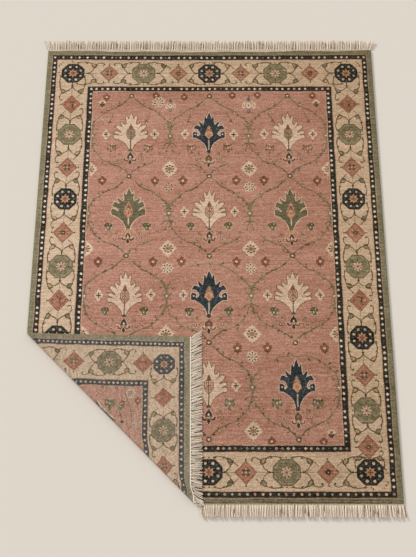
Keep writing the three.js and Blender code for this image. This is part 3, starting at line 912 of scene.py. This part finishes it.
for motif, from_side, from_end, size in ((star_rosette, 283, 270, 0.62), (snowflake, 422, 243, 0.55),
                                         (tulip, 332, 365, 1), (red_flower, 330, 307, 0.7),
                                         (red_flower, 317, 236, 0.8), (twig, 372, 330, 0.9),
                                         (red_flower, 258, 336, 0.4), (red_flower, 253, 400, 0.4),
                                         (tulip, 345, 315, 0.6)):
    motif(corner_spot(from_side, from_end, pi / 2, size))
for from_side, from_end, dye, half in ((419, 310, "indigo", 11), (417, 334, "cream", 5),
                                       (409, 322, "cream", 4), (330, 290, "cream", 4)):
    lay(dye, lozenge(half, half * 0.7), corner_spot(from_side, from_end, pi / 2))
stem = [corner_spot(*place)[:2] for place in ((248, 297), (290, 292), (335, 276), (375, 266), (410, 262))]
vine("fern", stem, 4, TURNED_AS_CHARTED)
hook = [corner_spot(*place)[:2] for place in ((330, 426), (352, 411), (372, 390), (392, 372), (414, 348))]
for dye, width in (("cream", 19), ("indigo", 13)):
    vine(dye, hook, width, TURNED_AS_CHARTED, 1.5)


# The cloth: one piece with its knotted pile above and its woven back below, 8 mm thick. It is cut along
# every line of the pattern and of the fold, bent over the fold, and made in two layers that share the
# same patches of colour: the clipped wool pile, and the back, where each knot shows as a small loop.

MM = 0.001
MIDDLE_Y = 5
CLOTH_MIDDLE = 4
BEND_RADIUS = 8
BEND_ARC = pi * BEND_RADIUS
BEND_REACH = 12
SETTLE_DROP = 7
SETTLE_RUN = 90
CREASE_LENGTH = 1116.54
ALONG = (CREASE_ALONG_END / CREASE_LENGTH, -CREASE_UP_SIDE / CREASE_LENGTH)
TOWARD_CORNER = (ALONG[1], -ALONG[0])
OUTLINE = [(847, -1200), (847, 1200), (-847, 1200), (-847.5, -406), CORNER, NEAR_MIDDLE]
PILE_TOP = 4
LAYERS_MEET = -2
BACK_FACE = -4
PATTERN_GRID = 28
PLAIN_GRID = 60
SPARE = 5


def eased(t):
    t = min(max(t, 0), 1)
    return t * t * (3 - 2 * t)


def past_bend(x, y):
    """How far a point of the flat cloth is past the line where the bend starts."""
    dx, dy = x - LEFT_AT_CREASE[0], y - LEFT_AT_CREASE[1]
    return dx * TOWARD_CORNER[0] + dy * TOWARD_CORNER[1] + BEND_REACH


def ripple(x, y):
    """How far the floor's and the cloth's small waves lift it, in millimetres."""
    return 0.8 + 0.45 * sin(x / 190 + 1) * sin(y / 270) + 0.35 * sin(x / 410 - y / 330 + 2)


def folded(x, y, height):
    """Where a point of the flat cloth lies, in metres. Its height is over the cloth's middle, pile up.

    The turned layer settles onto the lying one, and it is drawn in a few millimetres towards its tip."""
    along = (x - LEFT_AT_CREASE[0]) * ALONG[0] + (y - LEFT_AT_CREASE[1]) * ALONG[1]
    past = past_bend(x, y)
    turn = min(max(past / BEND_RADIUS, 0), pi)
    run = max(past - BEND_ARC, 0)
    settled = eased(run / SETTLE_RUN) * SETTLE_DROP
    out = min(past, 0) + BEND_RADIUS * sin(turn) - run - BEND_REACH - sin(turn) * height
    place_x = LEFT_AT_CREASE[0] + ALONG[0] * along + TOWARD_CORNER[0] * out
    place_y = LEFT_AT_CREASE[1] + ALONG[1] * along + TOWARD_CORNER[1] * out
    z = CLOTH_MIDDLE + BEND_RADIUS * (1 - cos(turn)) - settled + cos(turn) * height
    place_x += (4 + 0.025 * (place_y + 440)) * eased(run / 45) * eased((place_x + 520) / 250)
    return Vector((place_x, place_y + MIDDLE_Y, z + ripple(place_x, place_y))) * MM


def fold_line(past):
    """The two ends of a line along the fold, well outside the cloth."""
    out = past - BEND_REACH
    return [(LEFT_AT_CREASE[0] + ALONG[0] * along + TOWARD_CORNER[0] * out,
             LEFT_AT_CREASE[1] + ALONG[1] * along + TOWARD_CORNER[1] * out) for along in (-200, 1400)]


FOLD_LINES = [BEND_ARC * i / 12 for i in range(13)]
FOLD_LINES += [BEND_ARC + run for run in (4, 9, 15, 22, 30, 40, 50, 60, 70, 80, SETTLE_RUN)]
outline = around(OUTLINE, 24)


def cut_up(patches, grid):
    """Cuts the cloth along the patches, the fold and a grid: its points, triangles and their colours."""
    points, lines, outlines = [], [], []
    for shape in [outline] + [patch[2] for patch in patches]:
        area = sum(p[0] * q[1] - q[0] * p[1] for p, q in zip(shape, shape[1:] + shape[:1]))
        first = len(points)
        points += [Vector(p) for p in (shape if area > 0 else shape[::-1])]
        outlines.append(list(range(first, len(points))))
    for past in FOLD_LINES:
        lines.append((len(points), len(points) + 1))
        points += [Vector(p) for p in fold_line(past)]
    for column in range(int(2 * HALF_WIDTH / grid)):
        for row in range(int(2 * HALF_LENGTH / grid)):
            points.append(Vector((-HALF_WIDTH + (column + 0.53) * grid, -HALF_LENGTH + (row + 0.47) * grid)))
    points, _, triangles, _, _, owners = delaunay_2d_cdt(points, lines, outlines, 1, 0.01)
    kept, colours = [], []
    for triangle, over in zip(triangles, owners):
        if 0 not in over:
            continue
        middle = sum((points[i] for i in triangle), Vector((0, 0))) / 3
        part = TURNED if past_bend(*middle) > BEND_ARC / 2 else LYING
        covering = [i for i in over if i and patches[i - 1][1] == part]
        kept.append(triangle)
        colours.append(patches[max(covering) - 1][0] if covering else "green")
    return points, kept, colours


# Each dye as it shows on the pile and, through the cotton ground, on the back.
DYES = {
    "rose": ("#B07F6A", "#B58B78"), "cream": ("#CFB196", "#C3AB93"), "straw": ("#C6A98B", "#C7AD93"),
    "navy": ("#302C24", "#524F4B"), "indigo": ("#32373A", "#4A5056"), "green": ("#7E7458", "#8F856D"),
    "pearl": ("#D8C8AE", "#C0B19C"), "sage": ("#7F7556", "#877D64"), "leaf": ("#696147", "#706855"),
    "terracotta": ("#9E6A53", "#A5705A"), "brick": ("#7E503C", "#8C6252"), "tan": ("#957E64", "#A08B74"),
    "brown": ("#6A4F39", "#7A6350"), "olive": ("#5E5038", "#75684F"), "moss": ("#575238", "#6A634B"),
    "fern": ("#7C6E52", "#7F755C"), "umber": ("#483A2E", "#5E5044"), "rust": ("#7A4F3B", "#87624F"),
    "clay": ("#9C6E55", "#A47F6A"), "blush": ("#BC937A", "#B89A84"), "pink": ("#B18468", "#AC8974"),
    "apricot": ("#BC8D6A", "#B3916F"), "slate": ("#585E60", "#696F70"), "ash": ("#A99C88", "#A0968A"),
    "cotton": ("#CDBDA5", "#CDBDA5")}
DYE_NAMES = list(DYES)

patterned = cut_up(chart, PATTERN_GRID)
plain = cut_up([], PLAIN_GRID)


def mesh_of(shape, name):
    mesh = bpy.data.meshes.new(name)
    shape.to_mesh(mesh)
    shape.free()
    return mesh


def piece_of(mesh, node):
    """The piece that stands for a node, whose own part it hides."""
    made = bpy.data.objects.new(mesh.name, mesh)
    bpy.context.collection.objects.link(made)
    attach(made, "root")
    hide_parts(node)
    return made


def layer(name, pattern_height, plain_height):
    """One layer of the cloth: its patterned face, the plain face that the other one covers, and the rim."""
    shape = bmesh.new()
    dye_of = shape.faces.layers.float.new("dye")
    shows_upward = pattern_height > plain_height
    for (points, triangles, colours), height, upward in ((patterned, pattern_height, shows_upward),
                                                         (plain, plain_height, not shows_upward)):
        corners = [shape.verts.new((p.x, p.y, height)) for p in points]
        for triangle, colour in zip(triangles, colours):
            face = shape.faces.new([corners[i] for i in (triangle if upward else triangle[::-1])])
            face[dye_of] = DYE_NAMES.index(colour)
    bmesh.ops.delete(shape, geom=[v for v in shape.verts if not v.link_faces], context="VERTS")
    rim = [edge for edge in shape.edges if edge.is_boundary]
    walls = bmesh.ops.bridge_loops(shape, edges=rim)["faces"]
    for wall in walls:
        wall[dye_of] = DYE_NAMES.index("green")
    bmesh.ops.recalc_face_normals(shape, faces=walls)
    flat_map = shape.loops.layers.uv.new("cloth")
    bake_map = shape.loops.layers.uv.new("OFBake")
    for face in shape.faces:
        shows = all(abs(v.co.z - pattern_height) < 0.01 for v in face.verts)
        face.smooth = shows
        for loop in face.loops:
            x, y = loop.vert.co.x, loop.vert.co.y
            loop[flat_map].uv = (x * MM, y * MM)
            u = (x + HALF_WIDTH + SPARE) / (2 * (HALF_WIDTH + SPARE))
            v = (y + HALF_LENGTH + SPARE) / (2 * (HALF_LENGTH + SPARE))
            loop[bake_map].uv = (u, 0.03 + 0.97 * v) if shows else (u, 0.025 * v)
    flat = [v.co.copy() for v in shape.verts]
    for v in shape.verts:
        v.co = folded(*v.co)
    mesh = mesh_of(shape, name)
    normals = []
    true_normal = {}
    for polygon in mesh.polygons:
        for i in polygon.loop_indices:
            corner = mesh.loops[i].vertex_index
            if not polygon.use_smooth:
                normals.append(polygon.normal)
                continue
            if corner not in true_normal:
                x, y, height = flat[corner]
                here = mesh.vertices[corner].co
                across, onward = folded(x + 1, y, height) - here, folded(x, y + 1, height) - here
                slope = across.cross(onward).normalized()
                true_normal[corner] = slope if shows_upward else -slope
            normals.append(true_normal[corner])
    mesh.normals_split_custom_set(normals)
    return piece_of(mesh, "rug")


pile = layer("pile", PILE_TOP, LAYERS_MEET + 0.05)
back = layer("back", BACK_FACE, LAYERS_MEET)


def linear(code):
    """An sRGB hex colour as linear values."""
    parts = [int(code[i:i + 2], 16) / 255 for i in (1, 3, 5)]
    return [p / 12.92 if p <= 0.04045 else ((p + 0.055) / 1.055) ** 2.4 for p in parts] + [1]


def add(tree, kind, inputs=None, **settings):
    """Adds a node with its settings, and links or sets its inputs."""
    made = tree.nodes.new("ShaderNode" + kind)
    for name, value in settings.items():
        setattr(made, name, value)
    for name, value in (inputs or {}).items():
        if isinstance(value, bpy.types.NodeSocket):
            tree.links.new(value, made.inputs[name])
        else:
            made.inputs[name].default_value = value
    return made


def material_for(piece, name):
    made = bpy.data.materials.new(name)
    made.use_nodes = True
    made.node_tree.nodes.clear()
    piece.data.materials.append(made)
    return made.node_tree


def dyed(tree, side):
    """The colour of each patch, picked from the dyes by the number that its face carries."""
    share = add(tree, "Attribute", attribute_name="dye").outputs["Fac"]
    share = add(tree, "Math", {0: share, 1: 0.5}, operation="ADD").outputs[0]
    share = add(tree, "Math", {0: share, 1: float(len(DYES))}, operation="DIVIDE").outputs[0]
    ramp = add(tree, "ValToRGB", {"Fac": share})
    ramp.color_ramp.interpolation = "CONSTANT"
    stops = ramp.color_ramp.elements
    while len(stops) < len(DYES):
        stops.new(0.999)
    for i, dye in enumerate(DYE_NAMES):
        stops[i].position = i / len(DYES)
        stops[i].color = linear(DYES[dye][side])
    return ramp.outputs["Color"]


# Hand-spun wool, dyed in small lots and clipped: dull, a little fuzzy at a low angle, each knot a shade
# of its own, and the lots changing in long streaks along the rows.
tree = material_for(pile, "hand-knotted wool pile, clipped")
place = add(tree, "UVMap", uv_map="cloth").outputs[0]


# Nearly all of a noise lies between these two values.
NOISE_RANGE = (0.28, 0.72)


def each_cell(tree, place, wide, tall):
    """One random value for each knot, or run of knots, of a size in metres."""
    cells = add(tree, "VectorMath", {0: place, 1: (1 / wide, 1 / tall, 1)}, operation="MULTIPLY").outputs[0]
    cells = add(tree, "VectorMath", {0: cells}, operation="FLOOR").outputs[0]
    return add(tree, "TexWhiteNoise", {"Vector": cells}, noise_dimensions="2D").outputs["Value"]


def shaded(tree, colour, by):
    """The colour, lighter or darker by as much in each of its parts, for each (value, most) in turn."""
    colour = add(tree, "Gamma", {"Color": colour, "Gamma": 1 / 2.2}).outputs[0]
    for value, most in by:
        low, high = NOISE_RANGE if value.name == "Fac" else (0.0, 1.0)
        value = add(tree, "MapRange", {0: value, 1: low, 2: high, 3: -most, 4: most}).outputs[0]
        colour = add(tree, "VectorMath", {0: colour, 1: value}, operation="ADD").outputs[0]
    colour = add(tree, "VectorMath", {0: colour, 1: (0.02, 0.02, 0.02)}, operation="MAXIMUM").outputs[0]
    return add(tree, "Gamma", {"Color": colour, "Gamma": 2.2}).outputs[0]


knots = each_cell(tree, place, 0.0048, 0.0046)
runs = each_cell(tree, place, 0.0175, 0.0052)
mottles = []
for stretch, size, detail, roughness in (((1, 1.3, 1), 150.0, 2.0, 0.5), ((1, 14, 1), 11.0, 4.0, 0.7),
                                         ((0.5, 3, 1), 3.0, 2.0, 0.5), ((1, 40, 1), 3.2, 3.0, 0.5)):
    stretched = add(tree, "Mapping", {"Vector": place, "Scale": stretch}).outputs[0]
    mottles.append(add(tree, "TexNoise", {"Vector": stretched, "Scale": size, "Detail": detail,
                                          "Roughness": roughness}).outputs["Fac"])
grain, streaks, lots, abrash = mottles
parts = add(tree, "SeparateXYZ", {0: place}).outputs
# The pile is a little darker towards both ends.
along = add(tree, "Math", {0: parts["Y"], 1: -0.25}, operation="ADD").outputs[0]
along = add(tree, "Math", {0: along, 1: along}, operation="MULTIPLY").outputs[0]
# Painted light: the pile is painted lighter and bluer on its left side, towards the lamp, and darker and
# warmer on its right.
across = add(tree, "MapRange", {0: parts["X"], 1: -0.85, 2: 0.85}).outputs[0]
painted_light_across = add(tree, "Mix", {0: across, 6: (1.1, 1.14, 1.22, 1), 7: (0.855, 0.845, 0.815, 1)},
            data_type="RGBA").outputs[2]
# The pile is a little darker and warmer towards the far end.
far_end_tint = add(tree, "MapRange", {0: parts["Y"], 1: 0.45, 2: 1.15}).outputs[0]
far_end_tint = add(tree, "Mix", {0: far_end_tint, 6: (1, 1, 1, 1), 7: (0.955, 0.935, 0.9, 1)},
             data_type="RGBA").outputs[2]
darker_at_ends = add(tree, "MapRange", {0: along, 1: 0.0, 2: 1.0, 3: 1.0, 4: 0.9}).outputs[0]
wool = add(tree, "VectorMath", {0: dyed(tree, 0), 1: painted_light_across}, operation="MULTIPLY").outputs[0]
wool = add(tree, "VectorMath", {0: wool, 1: far_end_tint}, operation="MULTIPLY").outputs[0]
wool = add(tree, "VectorMath", {0: wool, "Scale": darker_at_ends}, operation="SCALE").outputs[0]
wool = shaded(tree, wool, ((knots, 0.052), (runs, 0.03), (grain, 0.055), (streaks, 0.055), (abrash, 0.036),
                           (lots, 0.03)))
tufts = add(tree, "TexVoronoi", {"Vector": place, "Scale": 300.0}).outputs["Distance"]
relief = add(tree, "Bump", {"Height": tufts, "Strength": 0.5, "Distance": 0.0012}).outputs[0]
relief = add(tree, "Bump", {"Height": grain, "Strength": 0.35, "Distance": 0.004,
                            "Normal": relief}).outputs[0]
surface = add(tree, "BsdfPrincipled", {"Base Color": wool, "Roughness": 0.92, "Specular IOR Level": 0.1,
                                       "Sheen Weight": 0.03, "Sheen Roughness": 0.5, "Normal": relief})
add(tree, "OutputMaterial", {"Surface": surface.outputs[0]})

# The back of the same wool knots, tied on a cotton ground: flat, harder and greyer, with the loops in
# rows between the wefts. The rows are drawn twice as coarse as they are, so that they show.
tree = material_for(back, "back of the knots on a cotton ground")
place = add(tree, "UVMap", uv_map="cloth").outputs[0]
loops = add(tree, "VectorMath", {0: place, 1: (1 / 0.0034, 1 / 0.0064, 1)}, operation="MULTIPLY").outputs[0]
each_loop = each_cell(tree, place, 0.0051, 0.0064)
parts = add(tree, "SeparateXYZ", {0: loops}).outputs
swells = []
for part in (parts["X"], parts["Y"]):
    swell = add(tree, "Math", {0: part, 1: pi}, operation="MULTIPLY").outputs[0]
    swell = add(tree, "Math", {0: swell}, operation="SINE").outputs[0]
    swells.append(add(tree, "Math", {0: swell}, operation="ABSOLUTE").outputs[0])
loop_height = add(tree, "Math", {0: swells[0], 1: swells[1]}, operation="MULTIPLY").outputs[0]
grain = add(tree, "TexNoise", {"Vector": place, "Scale": 110.0, "Detail": 3.0}).outputs["Fac"]
stretched = add(tree, "Mapping", {"Vector": place, "Scale": (1, 6, 1)}).outputs[0]
lots = add(tree, "TexNoise", {"Vector": stretched, "Scale": 9.0, "Detail": 4.0}).outputs["Fac"]
weave = add(tree, "TexWave", {"Vector": place, "Scale": 44.0, "Distortion": 2.0, "Detail": 2.0,
                              "Detail Scale": 4.0}, bands_direction="DIAGONAL").outputs["Fac"]
wool = shaded(tree, dyed(tree, 1), ((each_loop, 0.06), (weave, 0.014), (grain, 0.05), (lots, 0.035)))
# Painted shade: each loop's colour is darker down between the loops and lighter on its top.
painted_loop_shade = add(tree, "MapRange", {0: loop_height, 3: 0.68, 4: 1.16}).outputs[0]
wool = add(tree, "VectorMath", {0: wool, "Scale": painted_loop_shade}, operation="SCALE").outputs[0]
relief = add(tree, "Bump", {"Height": loop_height, "Strength": 0.5, "Distance": 0.001}).outputs[0]
surface = add(tree, "BsdfPrincipled", {"Base Color": wool, "Roughness": 0.88, "Specular IOR Level": 0.2,
                                       "Sheen Weight": 0.05, "Sheen Roughness": 0.5, "Normal": relief})
add(tree, "OutputMaterial", {"Surface": surface.outputs[0]})


# The selvedges: a round cord along each long side, overcast with green wool. The left one goes through
# the fold with the cloth.

CORD_RADIUS = 3.4
CORD_MIDDLE = 0.7
WRAP_STEP = 2.4
WRAP_SINKS = 0.45
WRAP_SWELLS = 0.35
CORD_SIDES = 10


def selvedge(name, node, start, *ends):
    """A cord along the cloth's edge, with a slanting ridge for each third turn of the wool round it."""
    shape = bmesh.new()
    path = [start]
    for end in ends:
        path += stepped(path[-1], end, WRAP_STEP)[1:] + [end]
    rings = []
    for i, (before, here, after) in enumerate(zip(path[:1] + path, path, path[1:] + path[-1:])):
        dx, dy = unit(before, after)
        ring = []
        for k in range(CORD_SIDES):
            angle = 2 * pi * k / CORD_SIDES
            wrap = CORD_RADIUS - WRAP_SINKS + WRAP_SWELLS * cos(2 * pi * (i / 3 + k / CORD_SIDES))
            if i in (0, len(path) - 1):
                wrap *= 0.6
            out = CORD_MIDDLE + wrap * cos(angle)
            ring.append(shape.verts.new(folded(here[0] + dy * out, here[1] + -dx * out, wrap * sin(angle))))
        rings.append([shape.edges.new(pair) for pair in zip(ring, ring[1:] + ring[:1])])
    for here, after in zip(rings, rings[1:]):
        bmesh.ops.bridge_loops(shape, edges=here + after)
    bmesh.ops.holes_fill(shape, edges=[e for e in shape.edges if e.is_boundary])
    bmesh.ops.recalc_face_normals(shape, faces=shape.faces)
    for face in shape.faces:
        face.smooth = True
    return piece_of(mesh_of(shape, name), node)


left_cord = selvedge("left_cord", "selvedge_left", OUTLINE[2], OUTLINE[3], CORNER)
right_cord = selvedge("right_cord", "selvedge_right", OUTLINE[0], OUTLINE[1])

# Green wool wound close round the edge warps: the same dull wool, in fine slanting turns.
tree = material_for(left_cord, "wool overcasting, green")
right_cord.data.materials.append(left_cord.data.materials[0])
place = add(tree, "TexCoord").outputs["Object"]
stretched = add(tree, "Mapping", {"Vector": place, "Scale": (1, 6, 1)}).outputs[0]
turns = add(tree, "TexNoise", {"Vector": stretched, "Scale": 90.0, "Detail": 2.0}).outputs["Fac"]
colour = add(tree, "Mix", {0: turns, 6: linear("#6E6C4C"), 7: linear("#8A8766")}, data_type="RGBA")
relief = add(tree, "Bump", {"Height": turns, "Strength": 0.4, "Distance": 0.001}).outputs[0]
surface = add(tree, "BsdfPrincipled", {"Base Color": colour.outputs[2], "Roughness": 0.9,
                                       "Specular IOR Level": 0.2, "Sheen Weight": 0.1, "Normal": relief})
add(tree, "OutputMaterial", {"Surface": surface.outputs[0]})


# The fringes: the ends of the cotton warps, left long past a narrow woven heading. They lie in loose
# locks on the floor at both ends, and on the turned corner they slant off its edge onto the pile.

HEADING_WIDTH = 8
YARN_RADIUS = 1.45
# The corners of the heading's profile round its ledge, which are painted dark as the shade in its holes.
HOLE_SHADE_CORNERS = (3, 4, 5)
TIPS_CURL_UP = 3.4
strands_rule = random.Random(5)


def heading(name, a, b, lock_pitch, holes):
    """The woven band outside an end, from a to b. Where it has holes, a ledge under them is painted dark, as
    the shade in the holes.
    """
    shape = bmesh.new()
    dx, dy = unit(a, b)
    locks = round(hypot(b[0] - a[0], b[1] - a[1]) / lock_pitch)
    strip = HEADING_WIDTH - 2 * holes
    ledge = strip + 7 * holes
    # The ledge is a sheet under the holes, painted dark as the shade in them.
    profile = [(0.3, -4), (strip - 3, -4), (strip - 0.6, -4), (strip, -2.2), (ledge, -2), (ledge, -1.2),
               (0.3, -1)]
    rings = []
    for i in range(2 * locks + 1):
        x, y = a[0] + (b[0] - a[0]) * i / (2 * locks), a[1] + (b[1] - a[1]) * i / (2 * locks)
        ring = [shape.verts.new((x + dy * out, y - dx * out, height)) for out, height in profile]
        rings.append([shape.edges.new((p, q)) for p, q in zip(ring, ring[1:] + ring[:1])])
    for here, after in zip(rings, rings[1:]):
        bmesh.ops.bridge_loops(shape, edges=here + after)
    bmesh.ops.holes_fill(shape, edges=[e for e in shape.edges if e.is_boundary])
    for v in shape.verts:
        v.co = folded(*v.co)
    bmesh.ops.recalc_face_normals(shape, faces=shape.faces)
    return mesh_of(shape, name), len(profile)


def strand_mesh(name, lines):
    """Yarns as thin round strands along their lines of (place, radius)."""
    yarn = bpy.data.curves.new(name, "CURVE")
    yarn.dimensions = "3D"
    yarn.bevel_depth = 1
    yarn.bevel_resolution = 1
    yarn.use_fill_caps = True
    for line in lines:
        spline = yarn.splines.new("POLY")
        spline.points.add(len(line) - 1)
        for point, (place, radius) in zip(spline.points, line):
            point.co = (*place, 1)
            point.radius = radius * MM
    holder = bpy.data.objects.new(name, yarn)
    bpy.context.collection.objects.link(holder)
    mesh = bpy.data.meshes.new_from_object(holder.evaluated_get(bpy.context.evaluated_depsgraph_get()))
    bpy.data.objects.remove(holder)
    for polygon in mesh.polygons:
        polygon.use_smooth = True
    return mesh


def fringe(name, node, a, b, lock_pitch, yarns, holes, line_of, between):
    """A fringe along the cloth's end from a to b: its heading, and locks of a few yarns.

    One yarn lies lower between each two locks, painted darker than the locks as the shade between them.
    between is how many of those are painted dark, as a share, and the range of the others' paleness."""
    length = hypot(b[0] - a[0], b[1] - a[1])
    locks = round(length / lock_pitch)
    pitch = length / locks
    lines, tones_and_shade = [], []
    for lock in range(locks):
        fair = strands_rule.uniform(0.84, 1)
        for k in range(yarns):
            aside = (k - (yarns - 1) / 2) * YARN_RADIUS * 2
            lines.append(line_of(a, b, (lock + 0.5) * pitch, lock, aside, 1 + k % 2))
            tones_and_shade.append(fair * strands_rule.uniform(0.82, 1))
        # The lower yarn between two locks is painted darker than the locks, as the shade between them.
        lines.append(line_of(a, b, (lock + 0.5) * pitch, lock, pitch / 2, 0))
        dark = strands_rule.random() < between[0]
        tones_and_shade.append(strands_rule.uniform(*((0, 0.2) if dark else between[1:])))
    woven_band, corners = heading(name + "_heading", a, b, pitch, holes)
    strands = strand_mesh(name + "_strands", lines)
    woven = len(woven_band.vertices)
    each = len(strands.vertices) // len(lines)
    shape = bmesh.new()
    shape.from_mesh(woven_band)
    shape.from_mesh(strands)
    mesh = mesh_of(shape, name)
    # Painted shade: the ledge, and on the turned fringe the roots of the lower yarns, are painted dark by
    # the share holes as the shade in the heading's holes.
    hole_shade = mesh.attributes.new("hole_shade", "FLOAT", "POINT")
    for i in range(len(mesh.vertices)):
        own, at = divmod(i - woven, each)
        if i < woven:
            in_hole_shade = i % corners in HOLE_SHADE_CORNERS
        else:
            in_hole_shade = holes > 0.5 and own % (yarns + 1) == yarns and at < 3 * each // 7
        hole_shade.data[i].value = holes if in_hole_shade else 0
    # Each strand's tone. The lower yarns' darker tones are painted shade.
    tone_and_shade = mesh.attributes.new("strand", "FLOAT", "POINT")
    for i in range(len(mesh.vertices)):
        tone_and_shade.data[i].value = 0.85 if i < woven else tones_and_shade[(i - woven) // each]
    return piece_of(mesh, node)


def lying_line(long, uneven, corner_at, corner_lean):
    """The line of a yarn that lies on the floor. Level 0 is the floor's, 1 and 2 lie on it."""
    def line(a, b, along, lock, aside, level):
        dx, dy = unit(a, b)
        out_x, out_y = dy, -dx
        rule = random.Random(lock * 7 + 1)
        lock_lean = rule.uniform(-0.07, 0.07)
        lock_long = long * rule.uniform(1 - uneven, 1)
        near_corner = sum(sign * max(0, 1 - abs(along - place) / 60) ** 1.5 for place, sign in corner_at)
        lean = lock_lean + strands_rule.uniform(-0.03, 0.03) + near_corner * corner_lean
        # Painted shade: the lower, darker yarns reach a little past the others, as the shade at the tips.
        own_long = lock_long * strands_rule.uniform(1 - uneven / 2, 1) * (1 if level else 1.01)
        wave, phase = strands_rule.uniform(0.1, 0.6), strands_rule.uniform(0, 6)
        points = []
        for k in range(7):
            t = k / 6
            out = HEADING_WIDTH - 3 + t * (own_long - HEADING_WIDTH + 3)
            spread = 0.5 + 0.5 * eased(t * 4) if level else 1
            sideways = along + out * lean + aside * spread + wave * sin(phase + t * 5)
            x = a[0] + dx * sideways + out_x * out
            y = a[1] + dy * sideways + out_y * out
            z = 1.95 + level * (0.5 + 2.3 * eased(t * 3))
            z += TIPS_CURL_UP * t * t
            place = Vector((x, y + MIDDLE_Y, z + ripple(x, y))) * MM
            points.append((place, YARN_RADIUS * (1 - 0.25 * t * t)))
        return points
    return line


far_fringe = fringe("far_strands", "fringe_far", (850, 1200), (-850, 1200), 12.2, 3, 0.3,
                    lying_line(62, 0.09, ((0, -1), (1700, 1)), 0.4), (0.45, 0.3, 0.65))

# The near end's own fringe starts where the fold parts it from the turned corner's.
END_SLANT = 0.04378
PARTING_X = -50.4
PARTING = (PARTING_X, -HALF_LENGTH - PARTING_X * END_SLANT)
near_fringe = fringe("near_strands", "fringe_near", PARTING, (850, -1200), 11.3, 3, 0.3,
                     lying_line(62.5, 0.05, ((0, 3), (895, 1)), 0.1), (0.4, 0.35, 0.7))

# How far the turned locks slant towards the corner, by how far along its edge they are.
SLANTS = [(0, 38), (35, 29), (100, 24), (260, 19), (420, 9), (580, 0), (690, -8), (745, -32), (790, 0)]
TURNED_LONG = 59
PILE_LEVEL = 9.4
FLOOR_LEVEL = 2.2


def slant(along):
    for (a, low), (b, high) in zip(SLANTS, SLANTS[1:]):
        if along <= b:
            return radians(low + (high - low) * (along - a) / (b - a))
    return 0


def turned_line(a, b, along, lock, aside, level):
    """The line of a yarn that falls from the turned edge to the pile, and at its near end to the floor."""
    dx, dy = unit(a, b)
    out_x, out_y = dy, -dx
    rule = random.Random(lock * 13 + 5)
    lean = -slant(along) + rule.uniform(-0.07, 0.07) + strands_rule.uniform(-0.05, 0.05)
    long = TURNED_LONG * rule.uniform(0.94, 1.02) * (1 - 0.0022 * aside * aside)
    long *= strands_rule.uniform(0.95, 1.0)
    if level == 0:
        long *= 0.85
    wave, phase = strands_rule.uniform(0.1, 0.7), strands_rule.uniform(0, 6)
    points = []
    for t in (0, 0.08, 0.16, 0.2, 0.45, 0.75, 1):
        out = HEADING_WIDTH - 4 + t * (long - HEADING_WIDTH + 4)
        spread = 0.25 + 0.8 * eased((out - 9) / 6) if level else 1
        sideways = along + out * lean * min(t * 3, 1) + aside * spread + wave * sin(phase + t * 5)
        x = a[0] + dx * sideways + out_x * out
        y = a[1] + dy * sideways + out_y * out
        place = folded(x, y, -2.5 - 0.4 * level) / MM
        over_edge = min(max((-1195 - (place.y - MIDDLE_Y)) / 14, 0), 1)
        rest = PILE_LEVEL + (FLOOR_LEVEL - PILE_LEVEL) * over_edge + 1.3 * level
        rest += ripple(place.x, place.y - MIDDLE_Y)
        place.z += (min(rest, place.z) - place.z) * eased(t / 0.6)
        points.append((place * MM, YARN_RADIUS * (1 - 0.25 * t * t)))
    return points


turned_fringe = fringe("turned_strands", "fringe_turned", CORNER, PARTING, 13.5, 4, 1.0, turned_line,
                       (0.1, 0.6, 0.9))

# Undyed cotton warp yarn, softly twisted: pale, dull, and each strand a little lighter or greyer.
tree = material_for(far_fringe, "cotton warp yarn, undyed")
for piece in (near_fringe, turned_fringe):
    piece.data.materials.append(far_fringe.data.materials[0])
own = add(tree, "Attribute", attribute_name="strand").outputs["Fac"]
place = add(tree, "TexCoord").outputs["Object"]
fuzz = add(tree, "TexNoise", {"Vector": place, "Scale": 350.0, "Detail": 2.0}).outputs["Fac"]
# From dark brown to pale cotton: the strands' own tones, and the painted shade of the lower yarns.
colour = add(tree, "Mix", {0: own, 6: linear("#7F5A34"), 7: linear("#FBEDD9")}, data_type="RGBA")
shade = add(tree, "MapRange", {0: fuzz, 1: 0.3, 2: 0.7, 3: 0.9, 4: 1.08}).outputs[0]
colour = add(tree, "VectorMath", {0: colour.outputs[2], "Scale": shade}, operation="SCALE").outputs[0]
# Painted shade: the heading's holes and what lies under them are painted nearly black.
hole_shades = add(tree, "Attribute", attribute_name="hole_shade").outputs["Fac"]
colour = add(tree, "Mix", {0: hole_shades, 6: colour, 7: linear("#2E2720")}, data_type="RGBA")
relief = add(tree, "Bump", {"Height": fuzz, "Strength": 0.4, "Distance": 0.0008}).outputs[0]
surface = add(tree, "BsdfPrincipled", {"Base Color": colour.outputs[2], "Roughness": 0.9,
                                       "Specular IOR Level": 0.2, "Sheen Weight": 0.1, "Normal": relief})
add(tree, "OutputMaterial", {"Surface": surface.outputs[0]})


# The floor is a plain pale one, matt.

floor_mesh = bpy.data.meshes.new("floor")
shape = bmesh.new()
bmesh.ops.create_grid(shape, x_segments=1, y_segments=1, size=9)
shape.to_mesh(floor_mesh)
shape.free()
floor_piece = bpy.data.objects.new("floor", floor_mesh)
bpy.context.collection.objects.link(floor_piece)
tree = material_for(floor_piece, "matt painted floor")
surface = add(tree, "BsdfPrincipled", {"Base Color": linear("#DCD4CB"), "Roughness": 0.9,
                                       "Specular IOR Level": 0.1})
add(tree, "OutputMaterial", {"Surface": surface.outputs[0]})


# The light: a broad soft lamp far off beyond the left corner, and an even pale room.

sun = bpy.data.lights.new("window", "SUN")
sun.energy = 2.75
sun.angle = radians(12)
sun.color = linear("#FFFDF8")[:3]
window = bpy.data.objects.new("window", sun)
window.matrix_world = Vector((-0.65, 0.65, 0.4)).to_track_quat("Z", "Y").to_matrix().to_4x4()
bpy.context.collection.objects.link(window)
room = bpy.data.worlds.new("room")
room.use_nodes = True
room.node_tree.nodes["Background"].inputs["Color"].default_value = linear("#FFFEFC")
room.node_tree.nodes["Background"].inputs["Strength"].default_value = 0.68
bpy.context.scene.world = room
bpy.context.scene.view_settings.view_transform = "Standard"
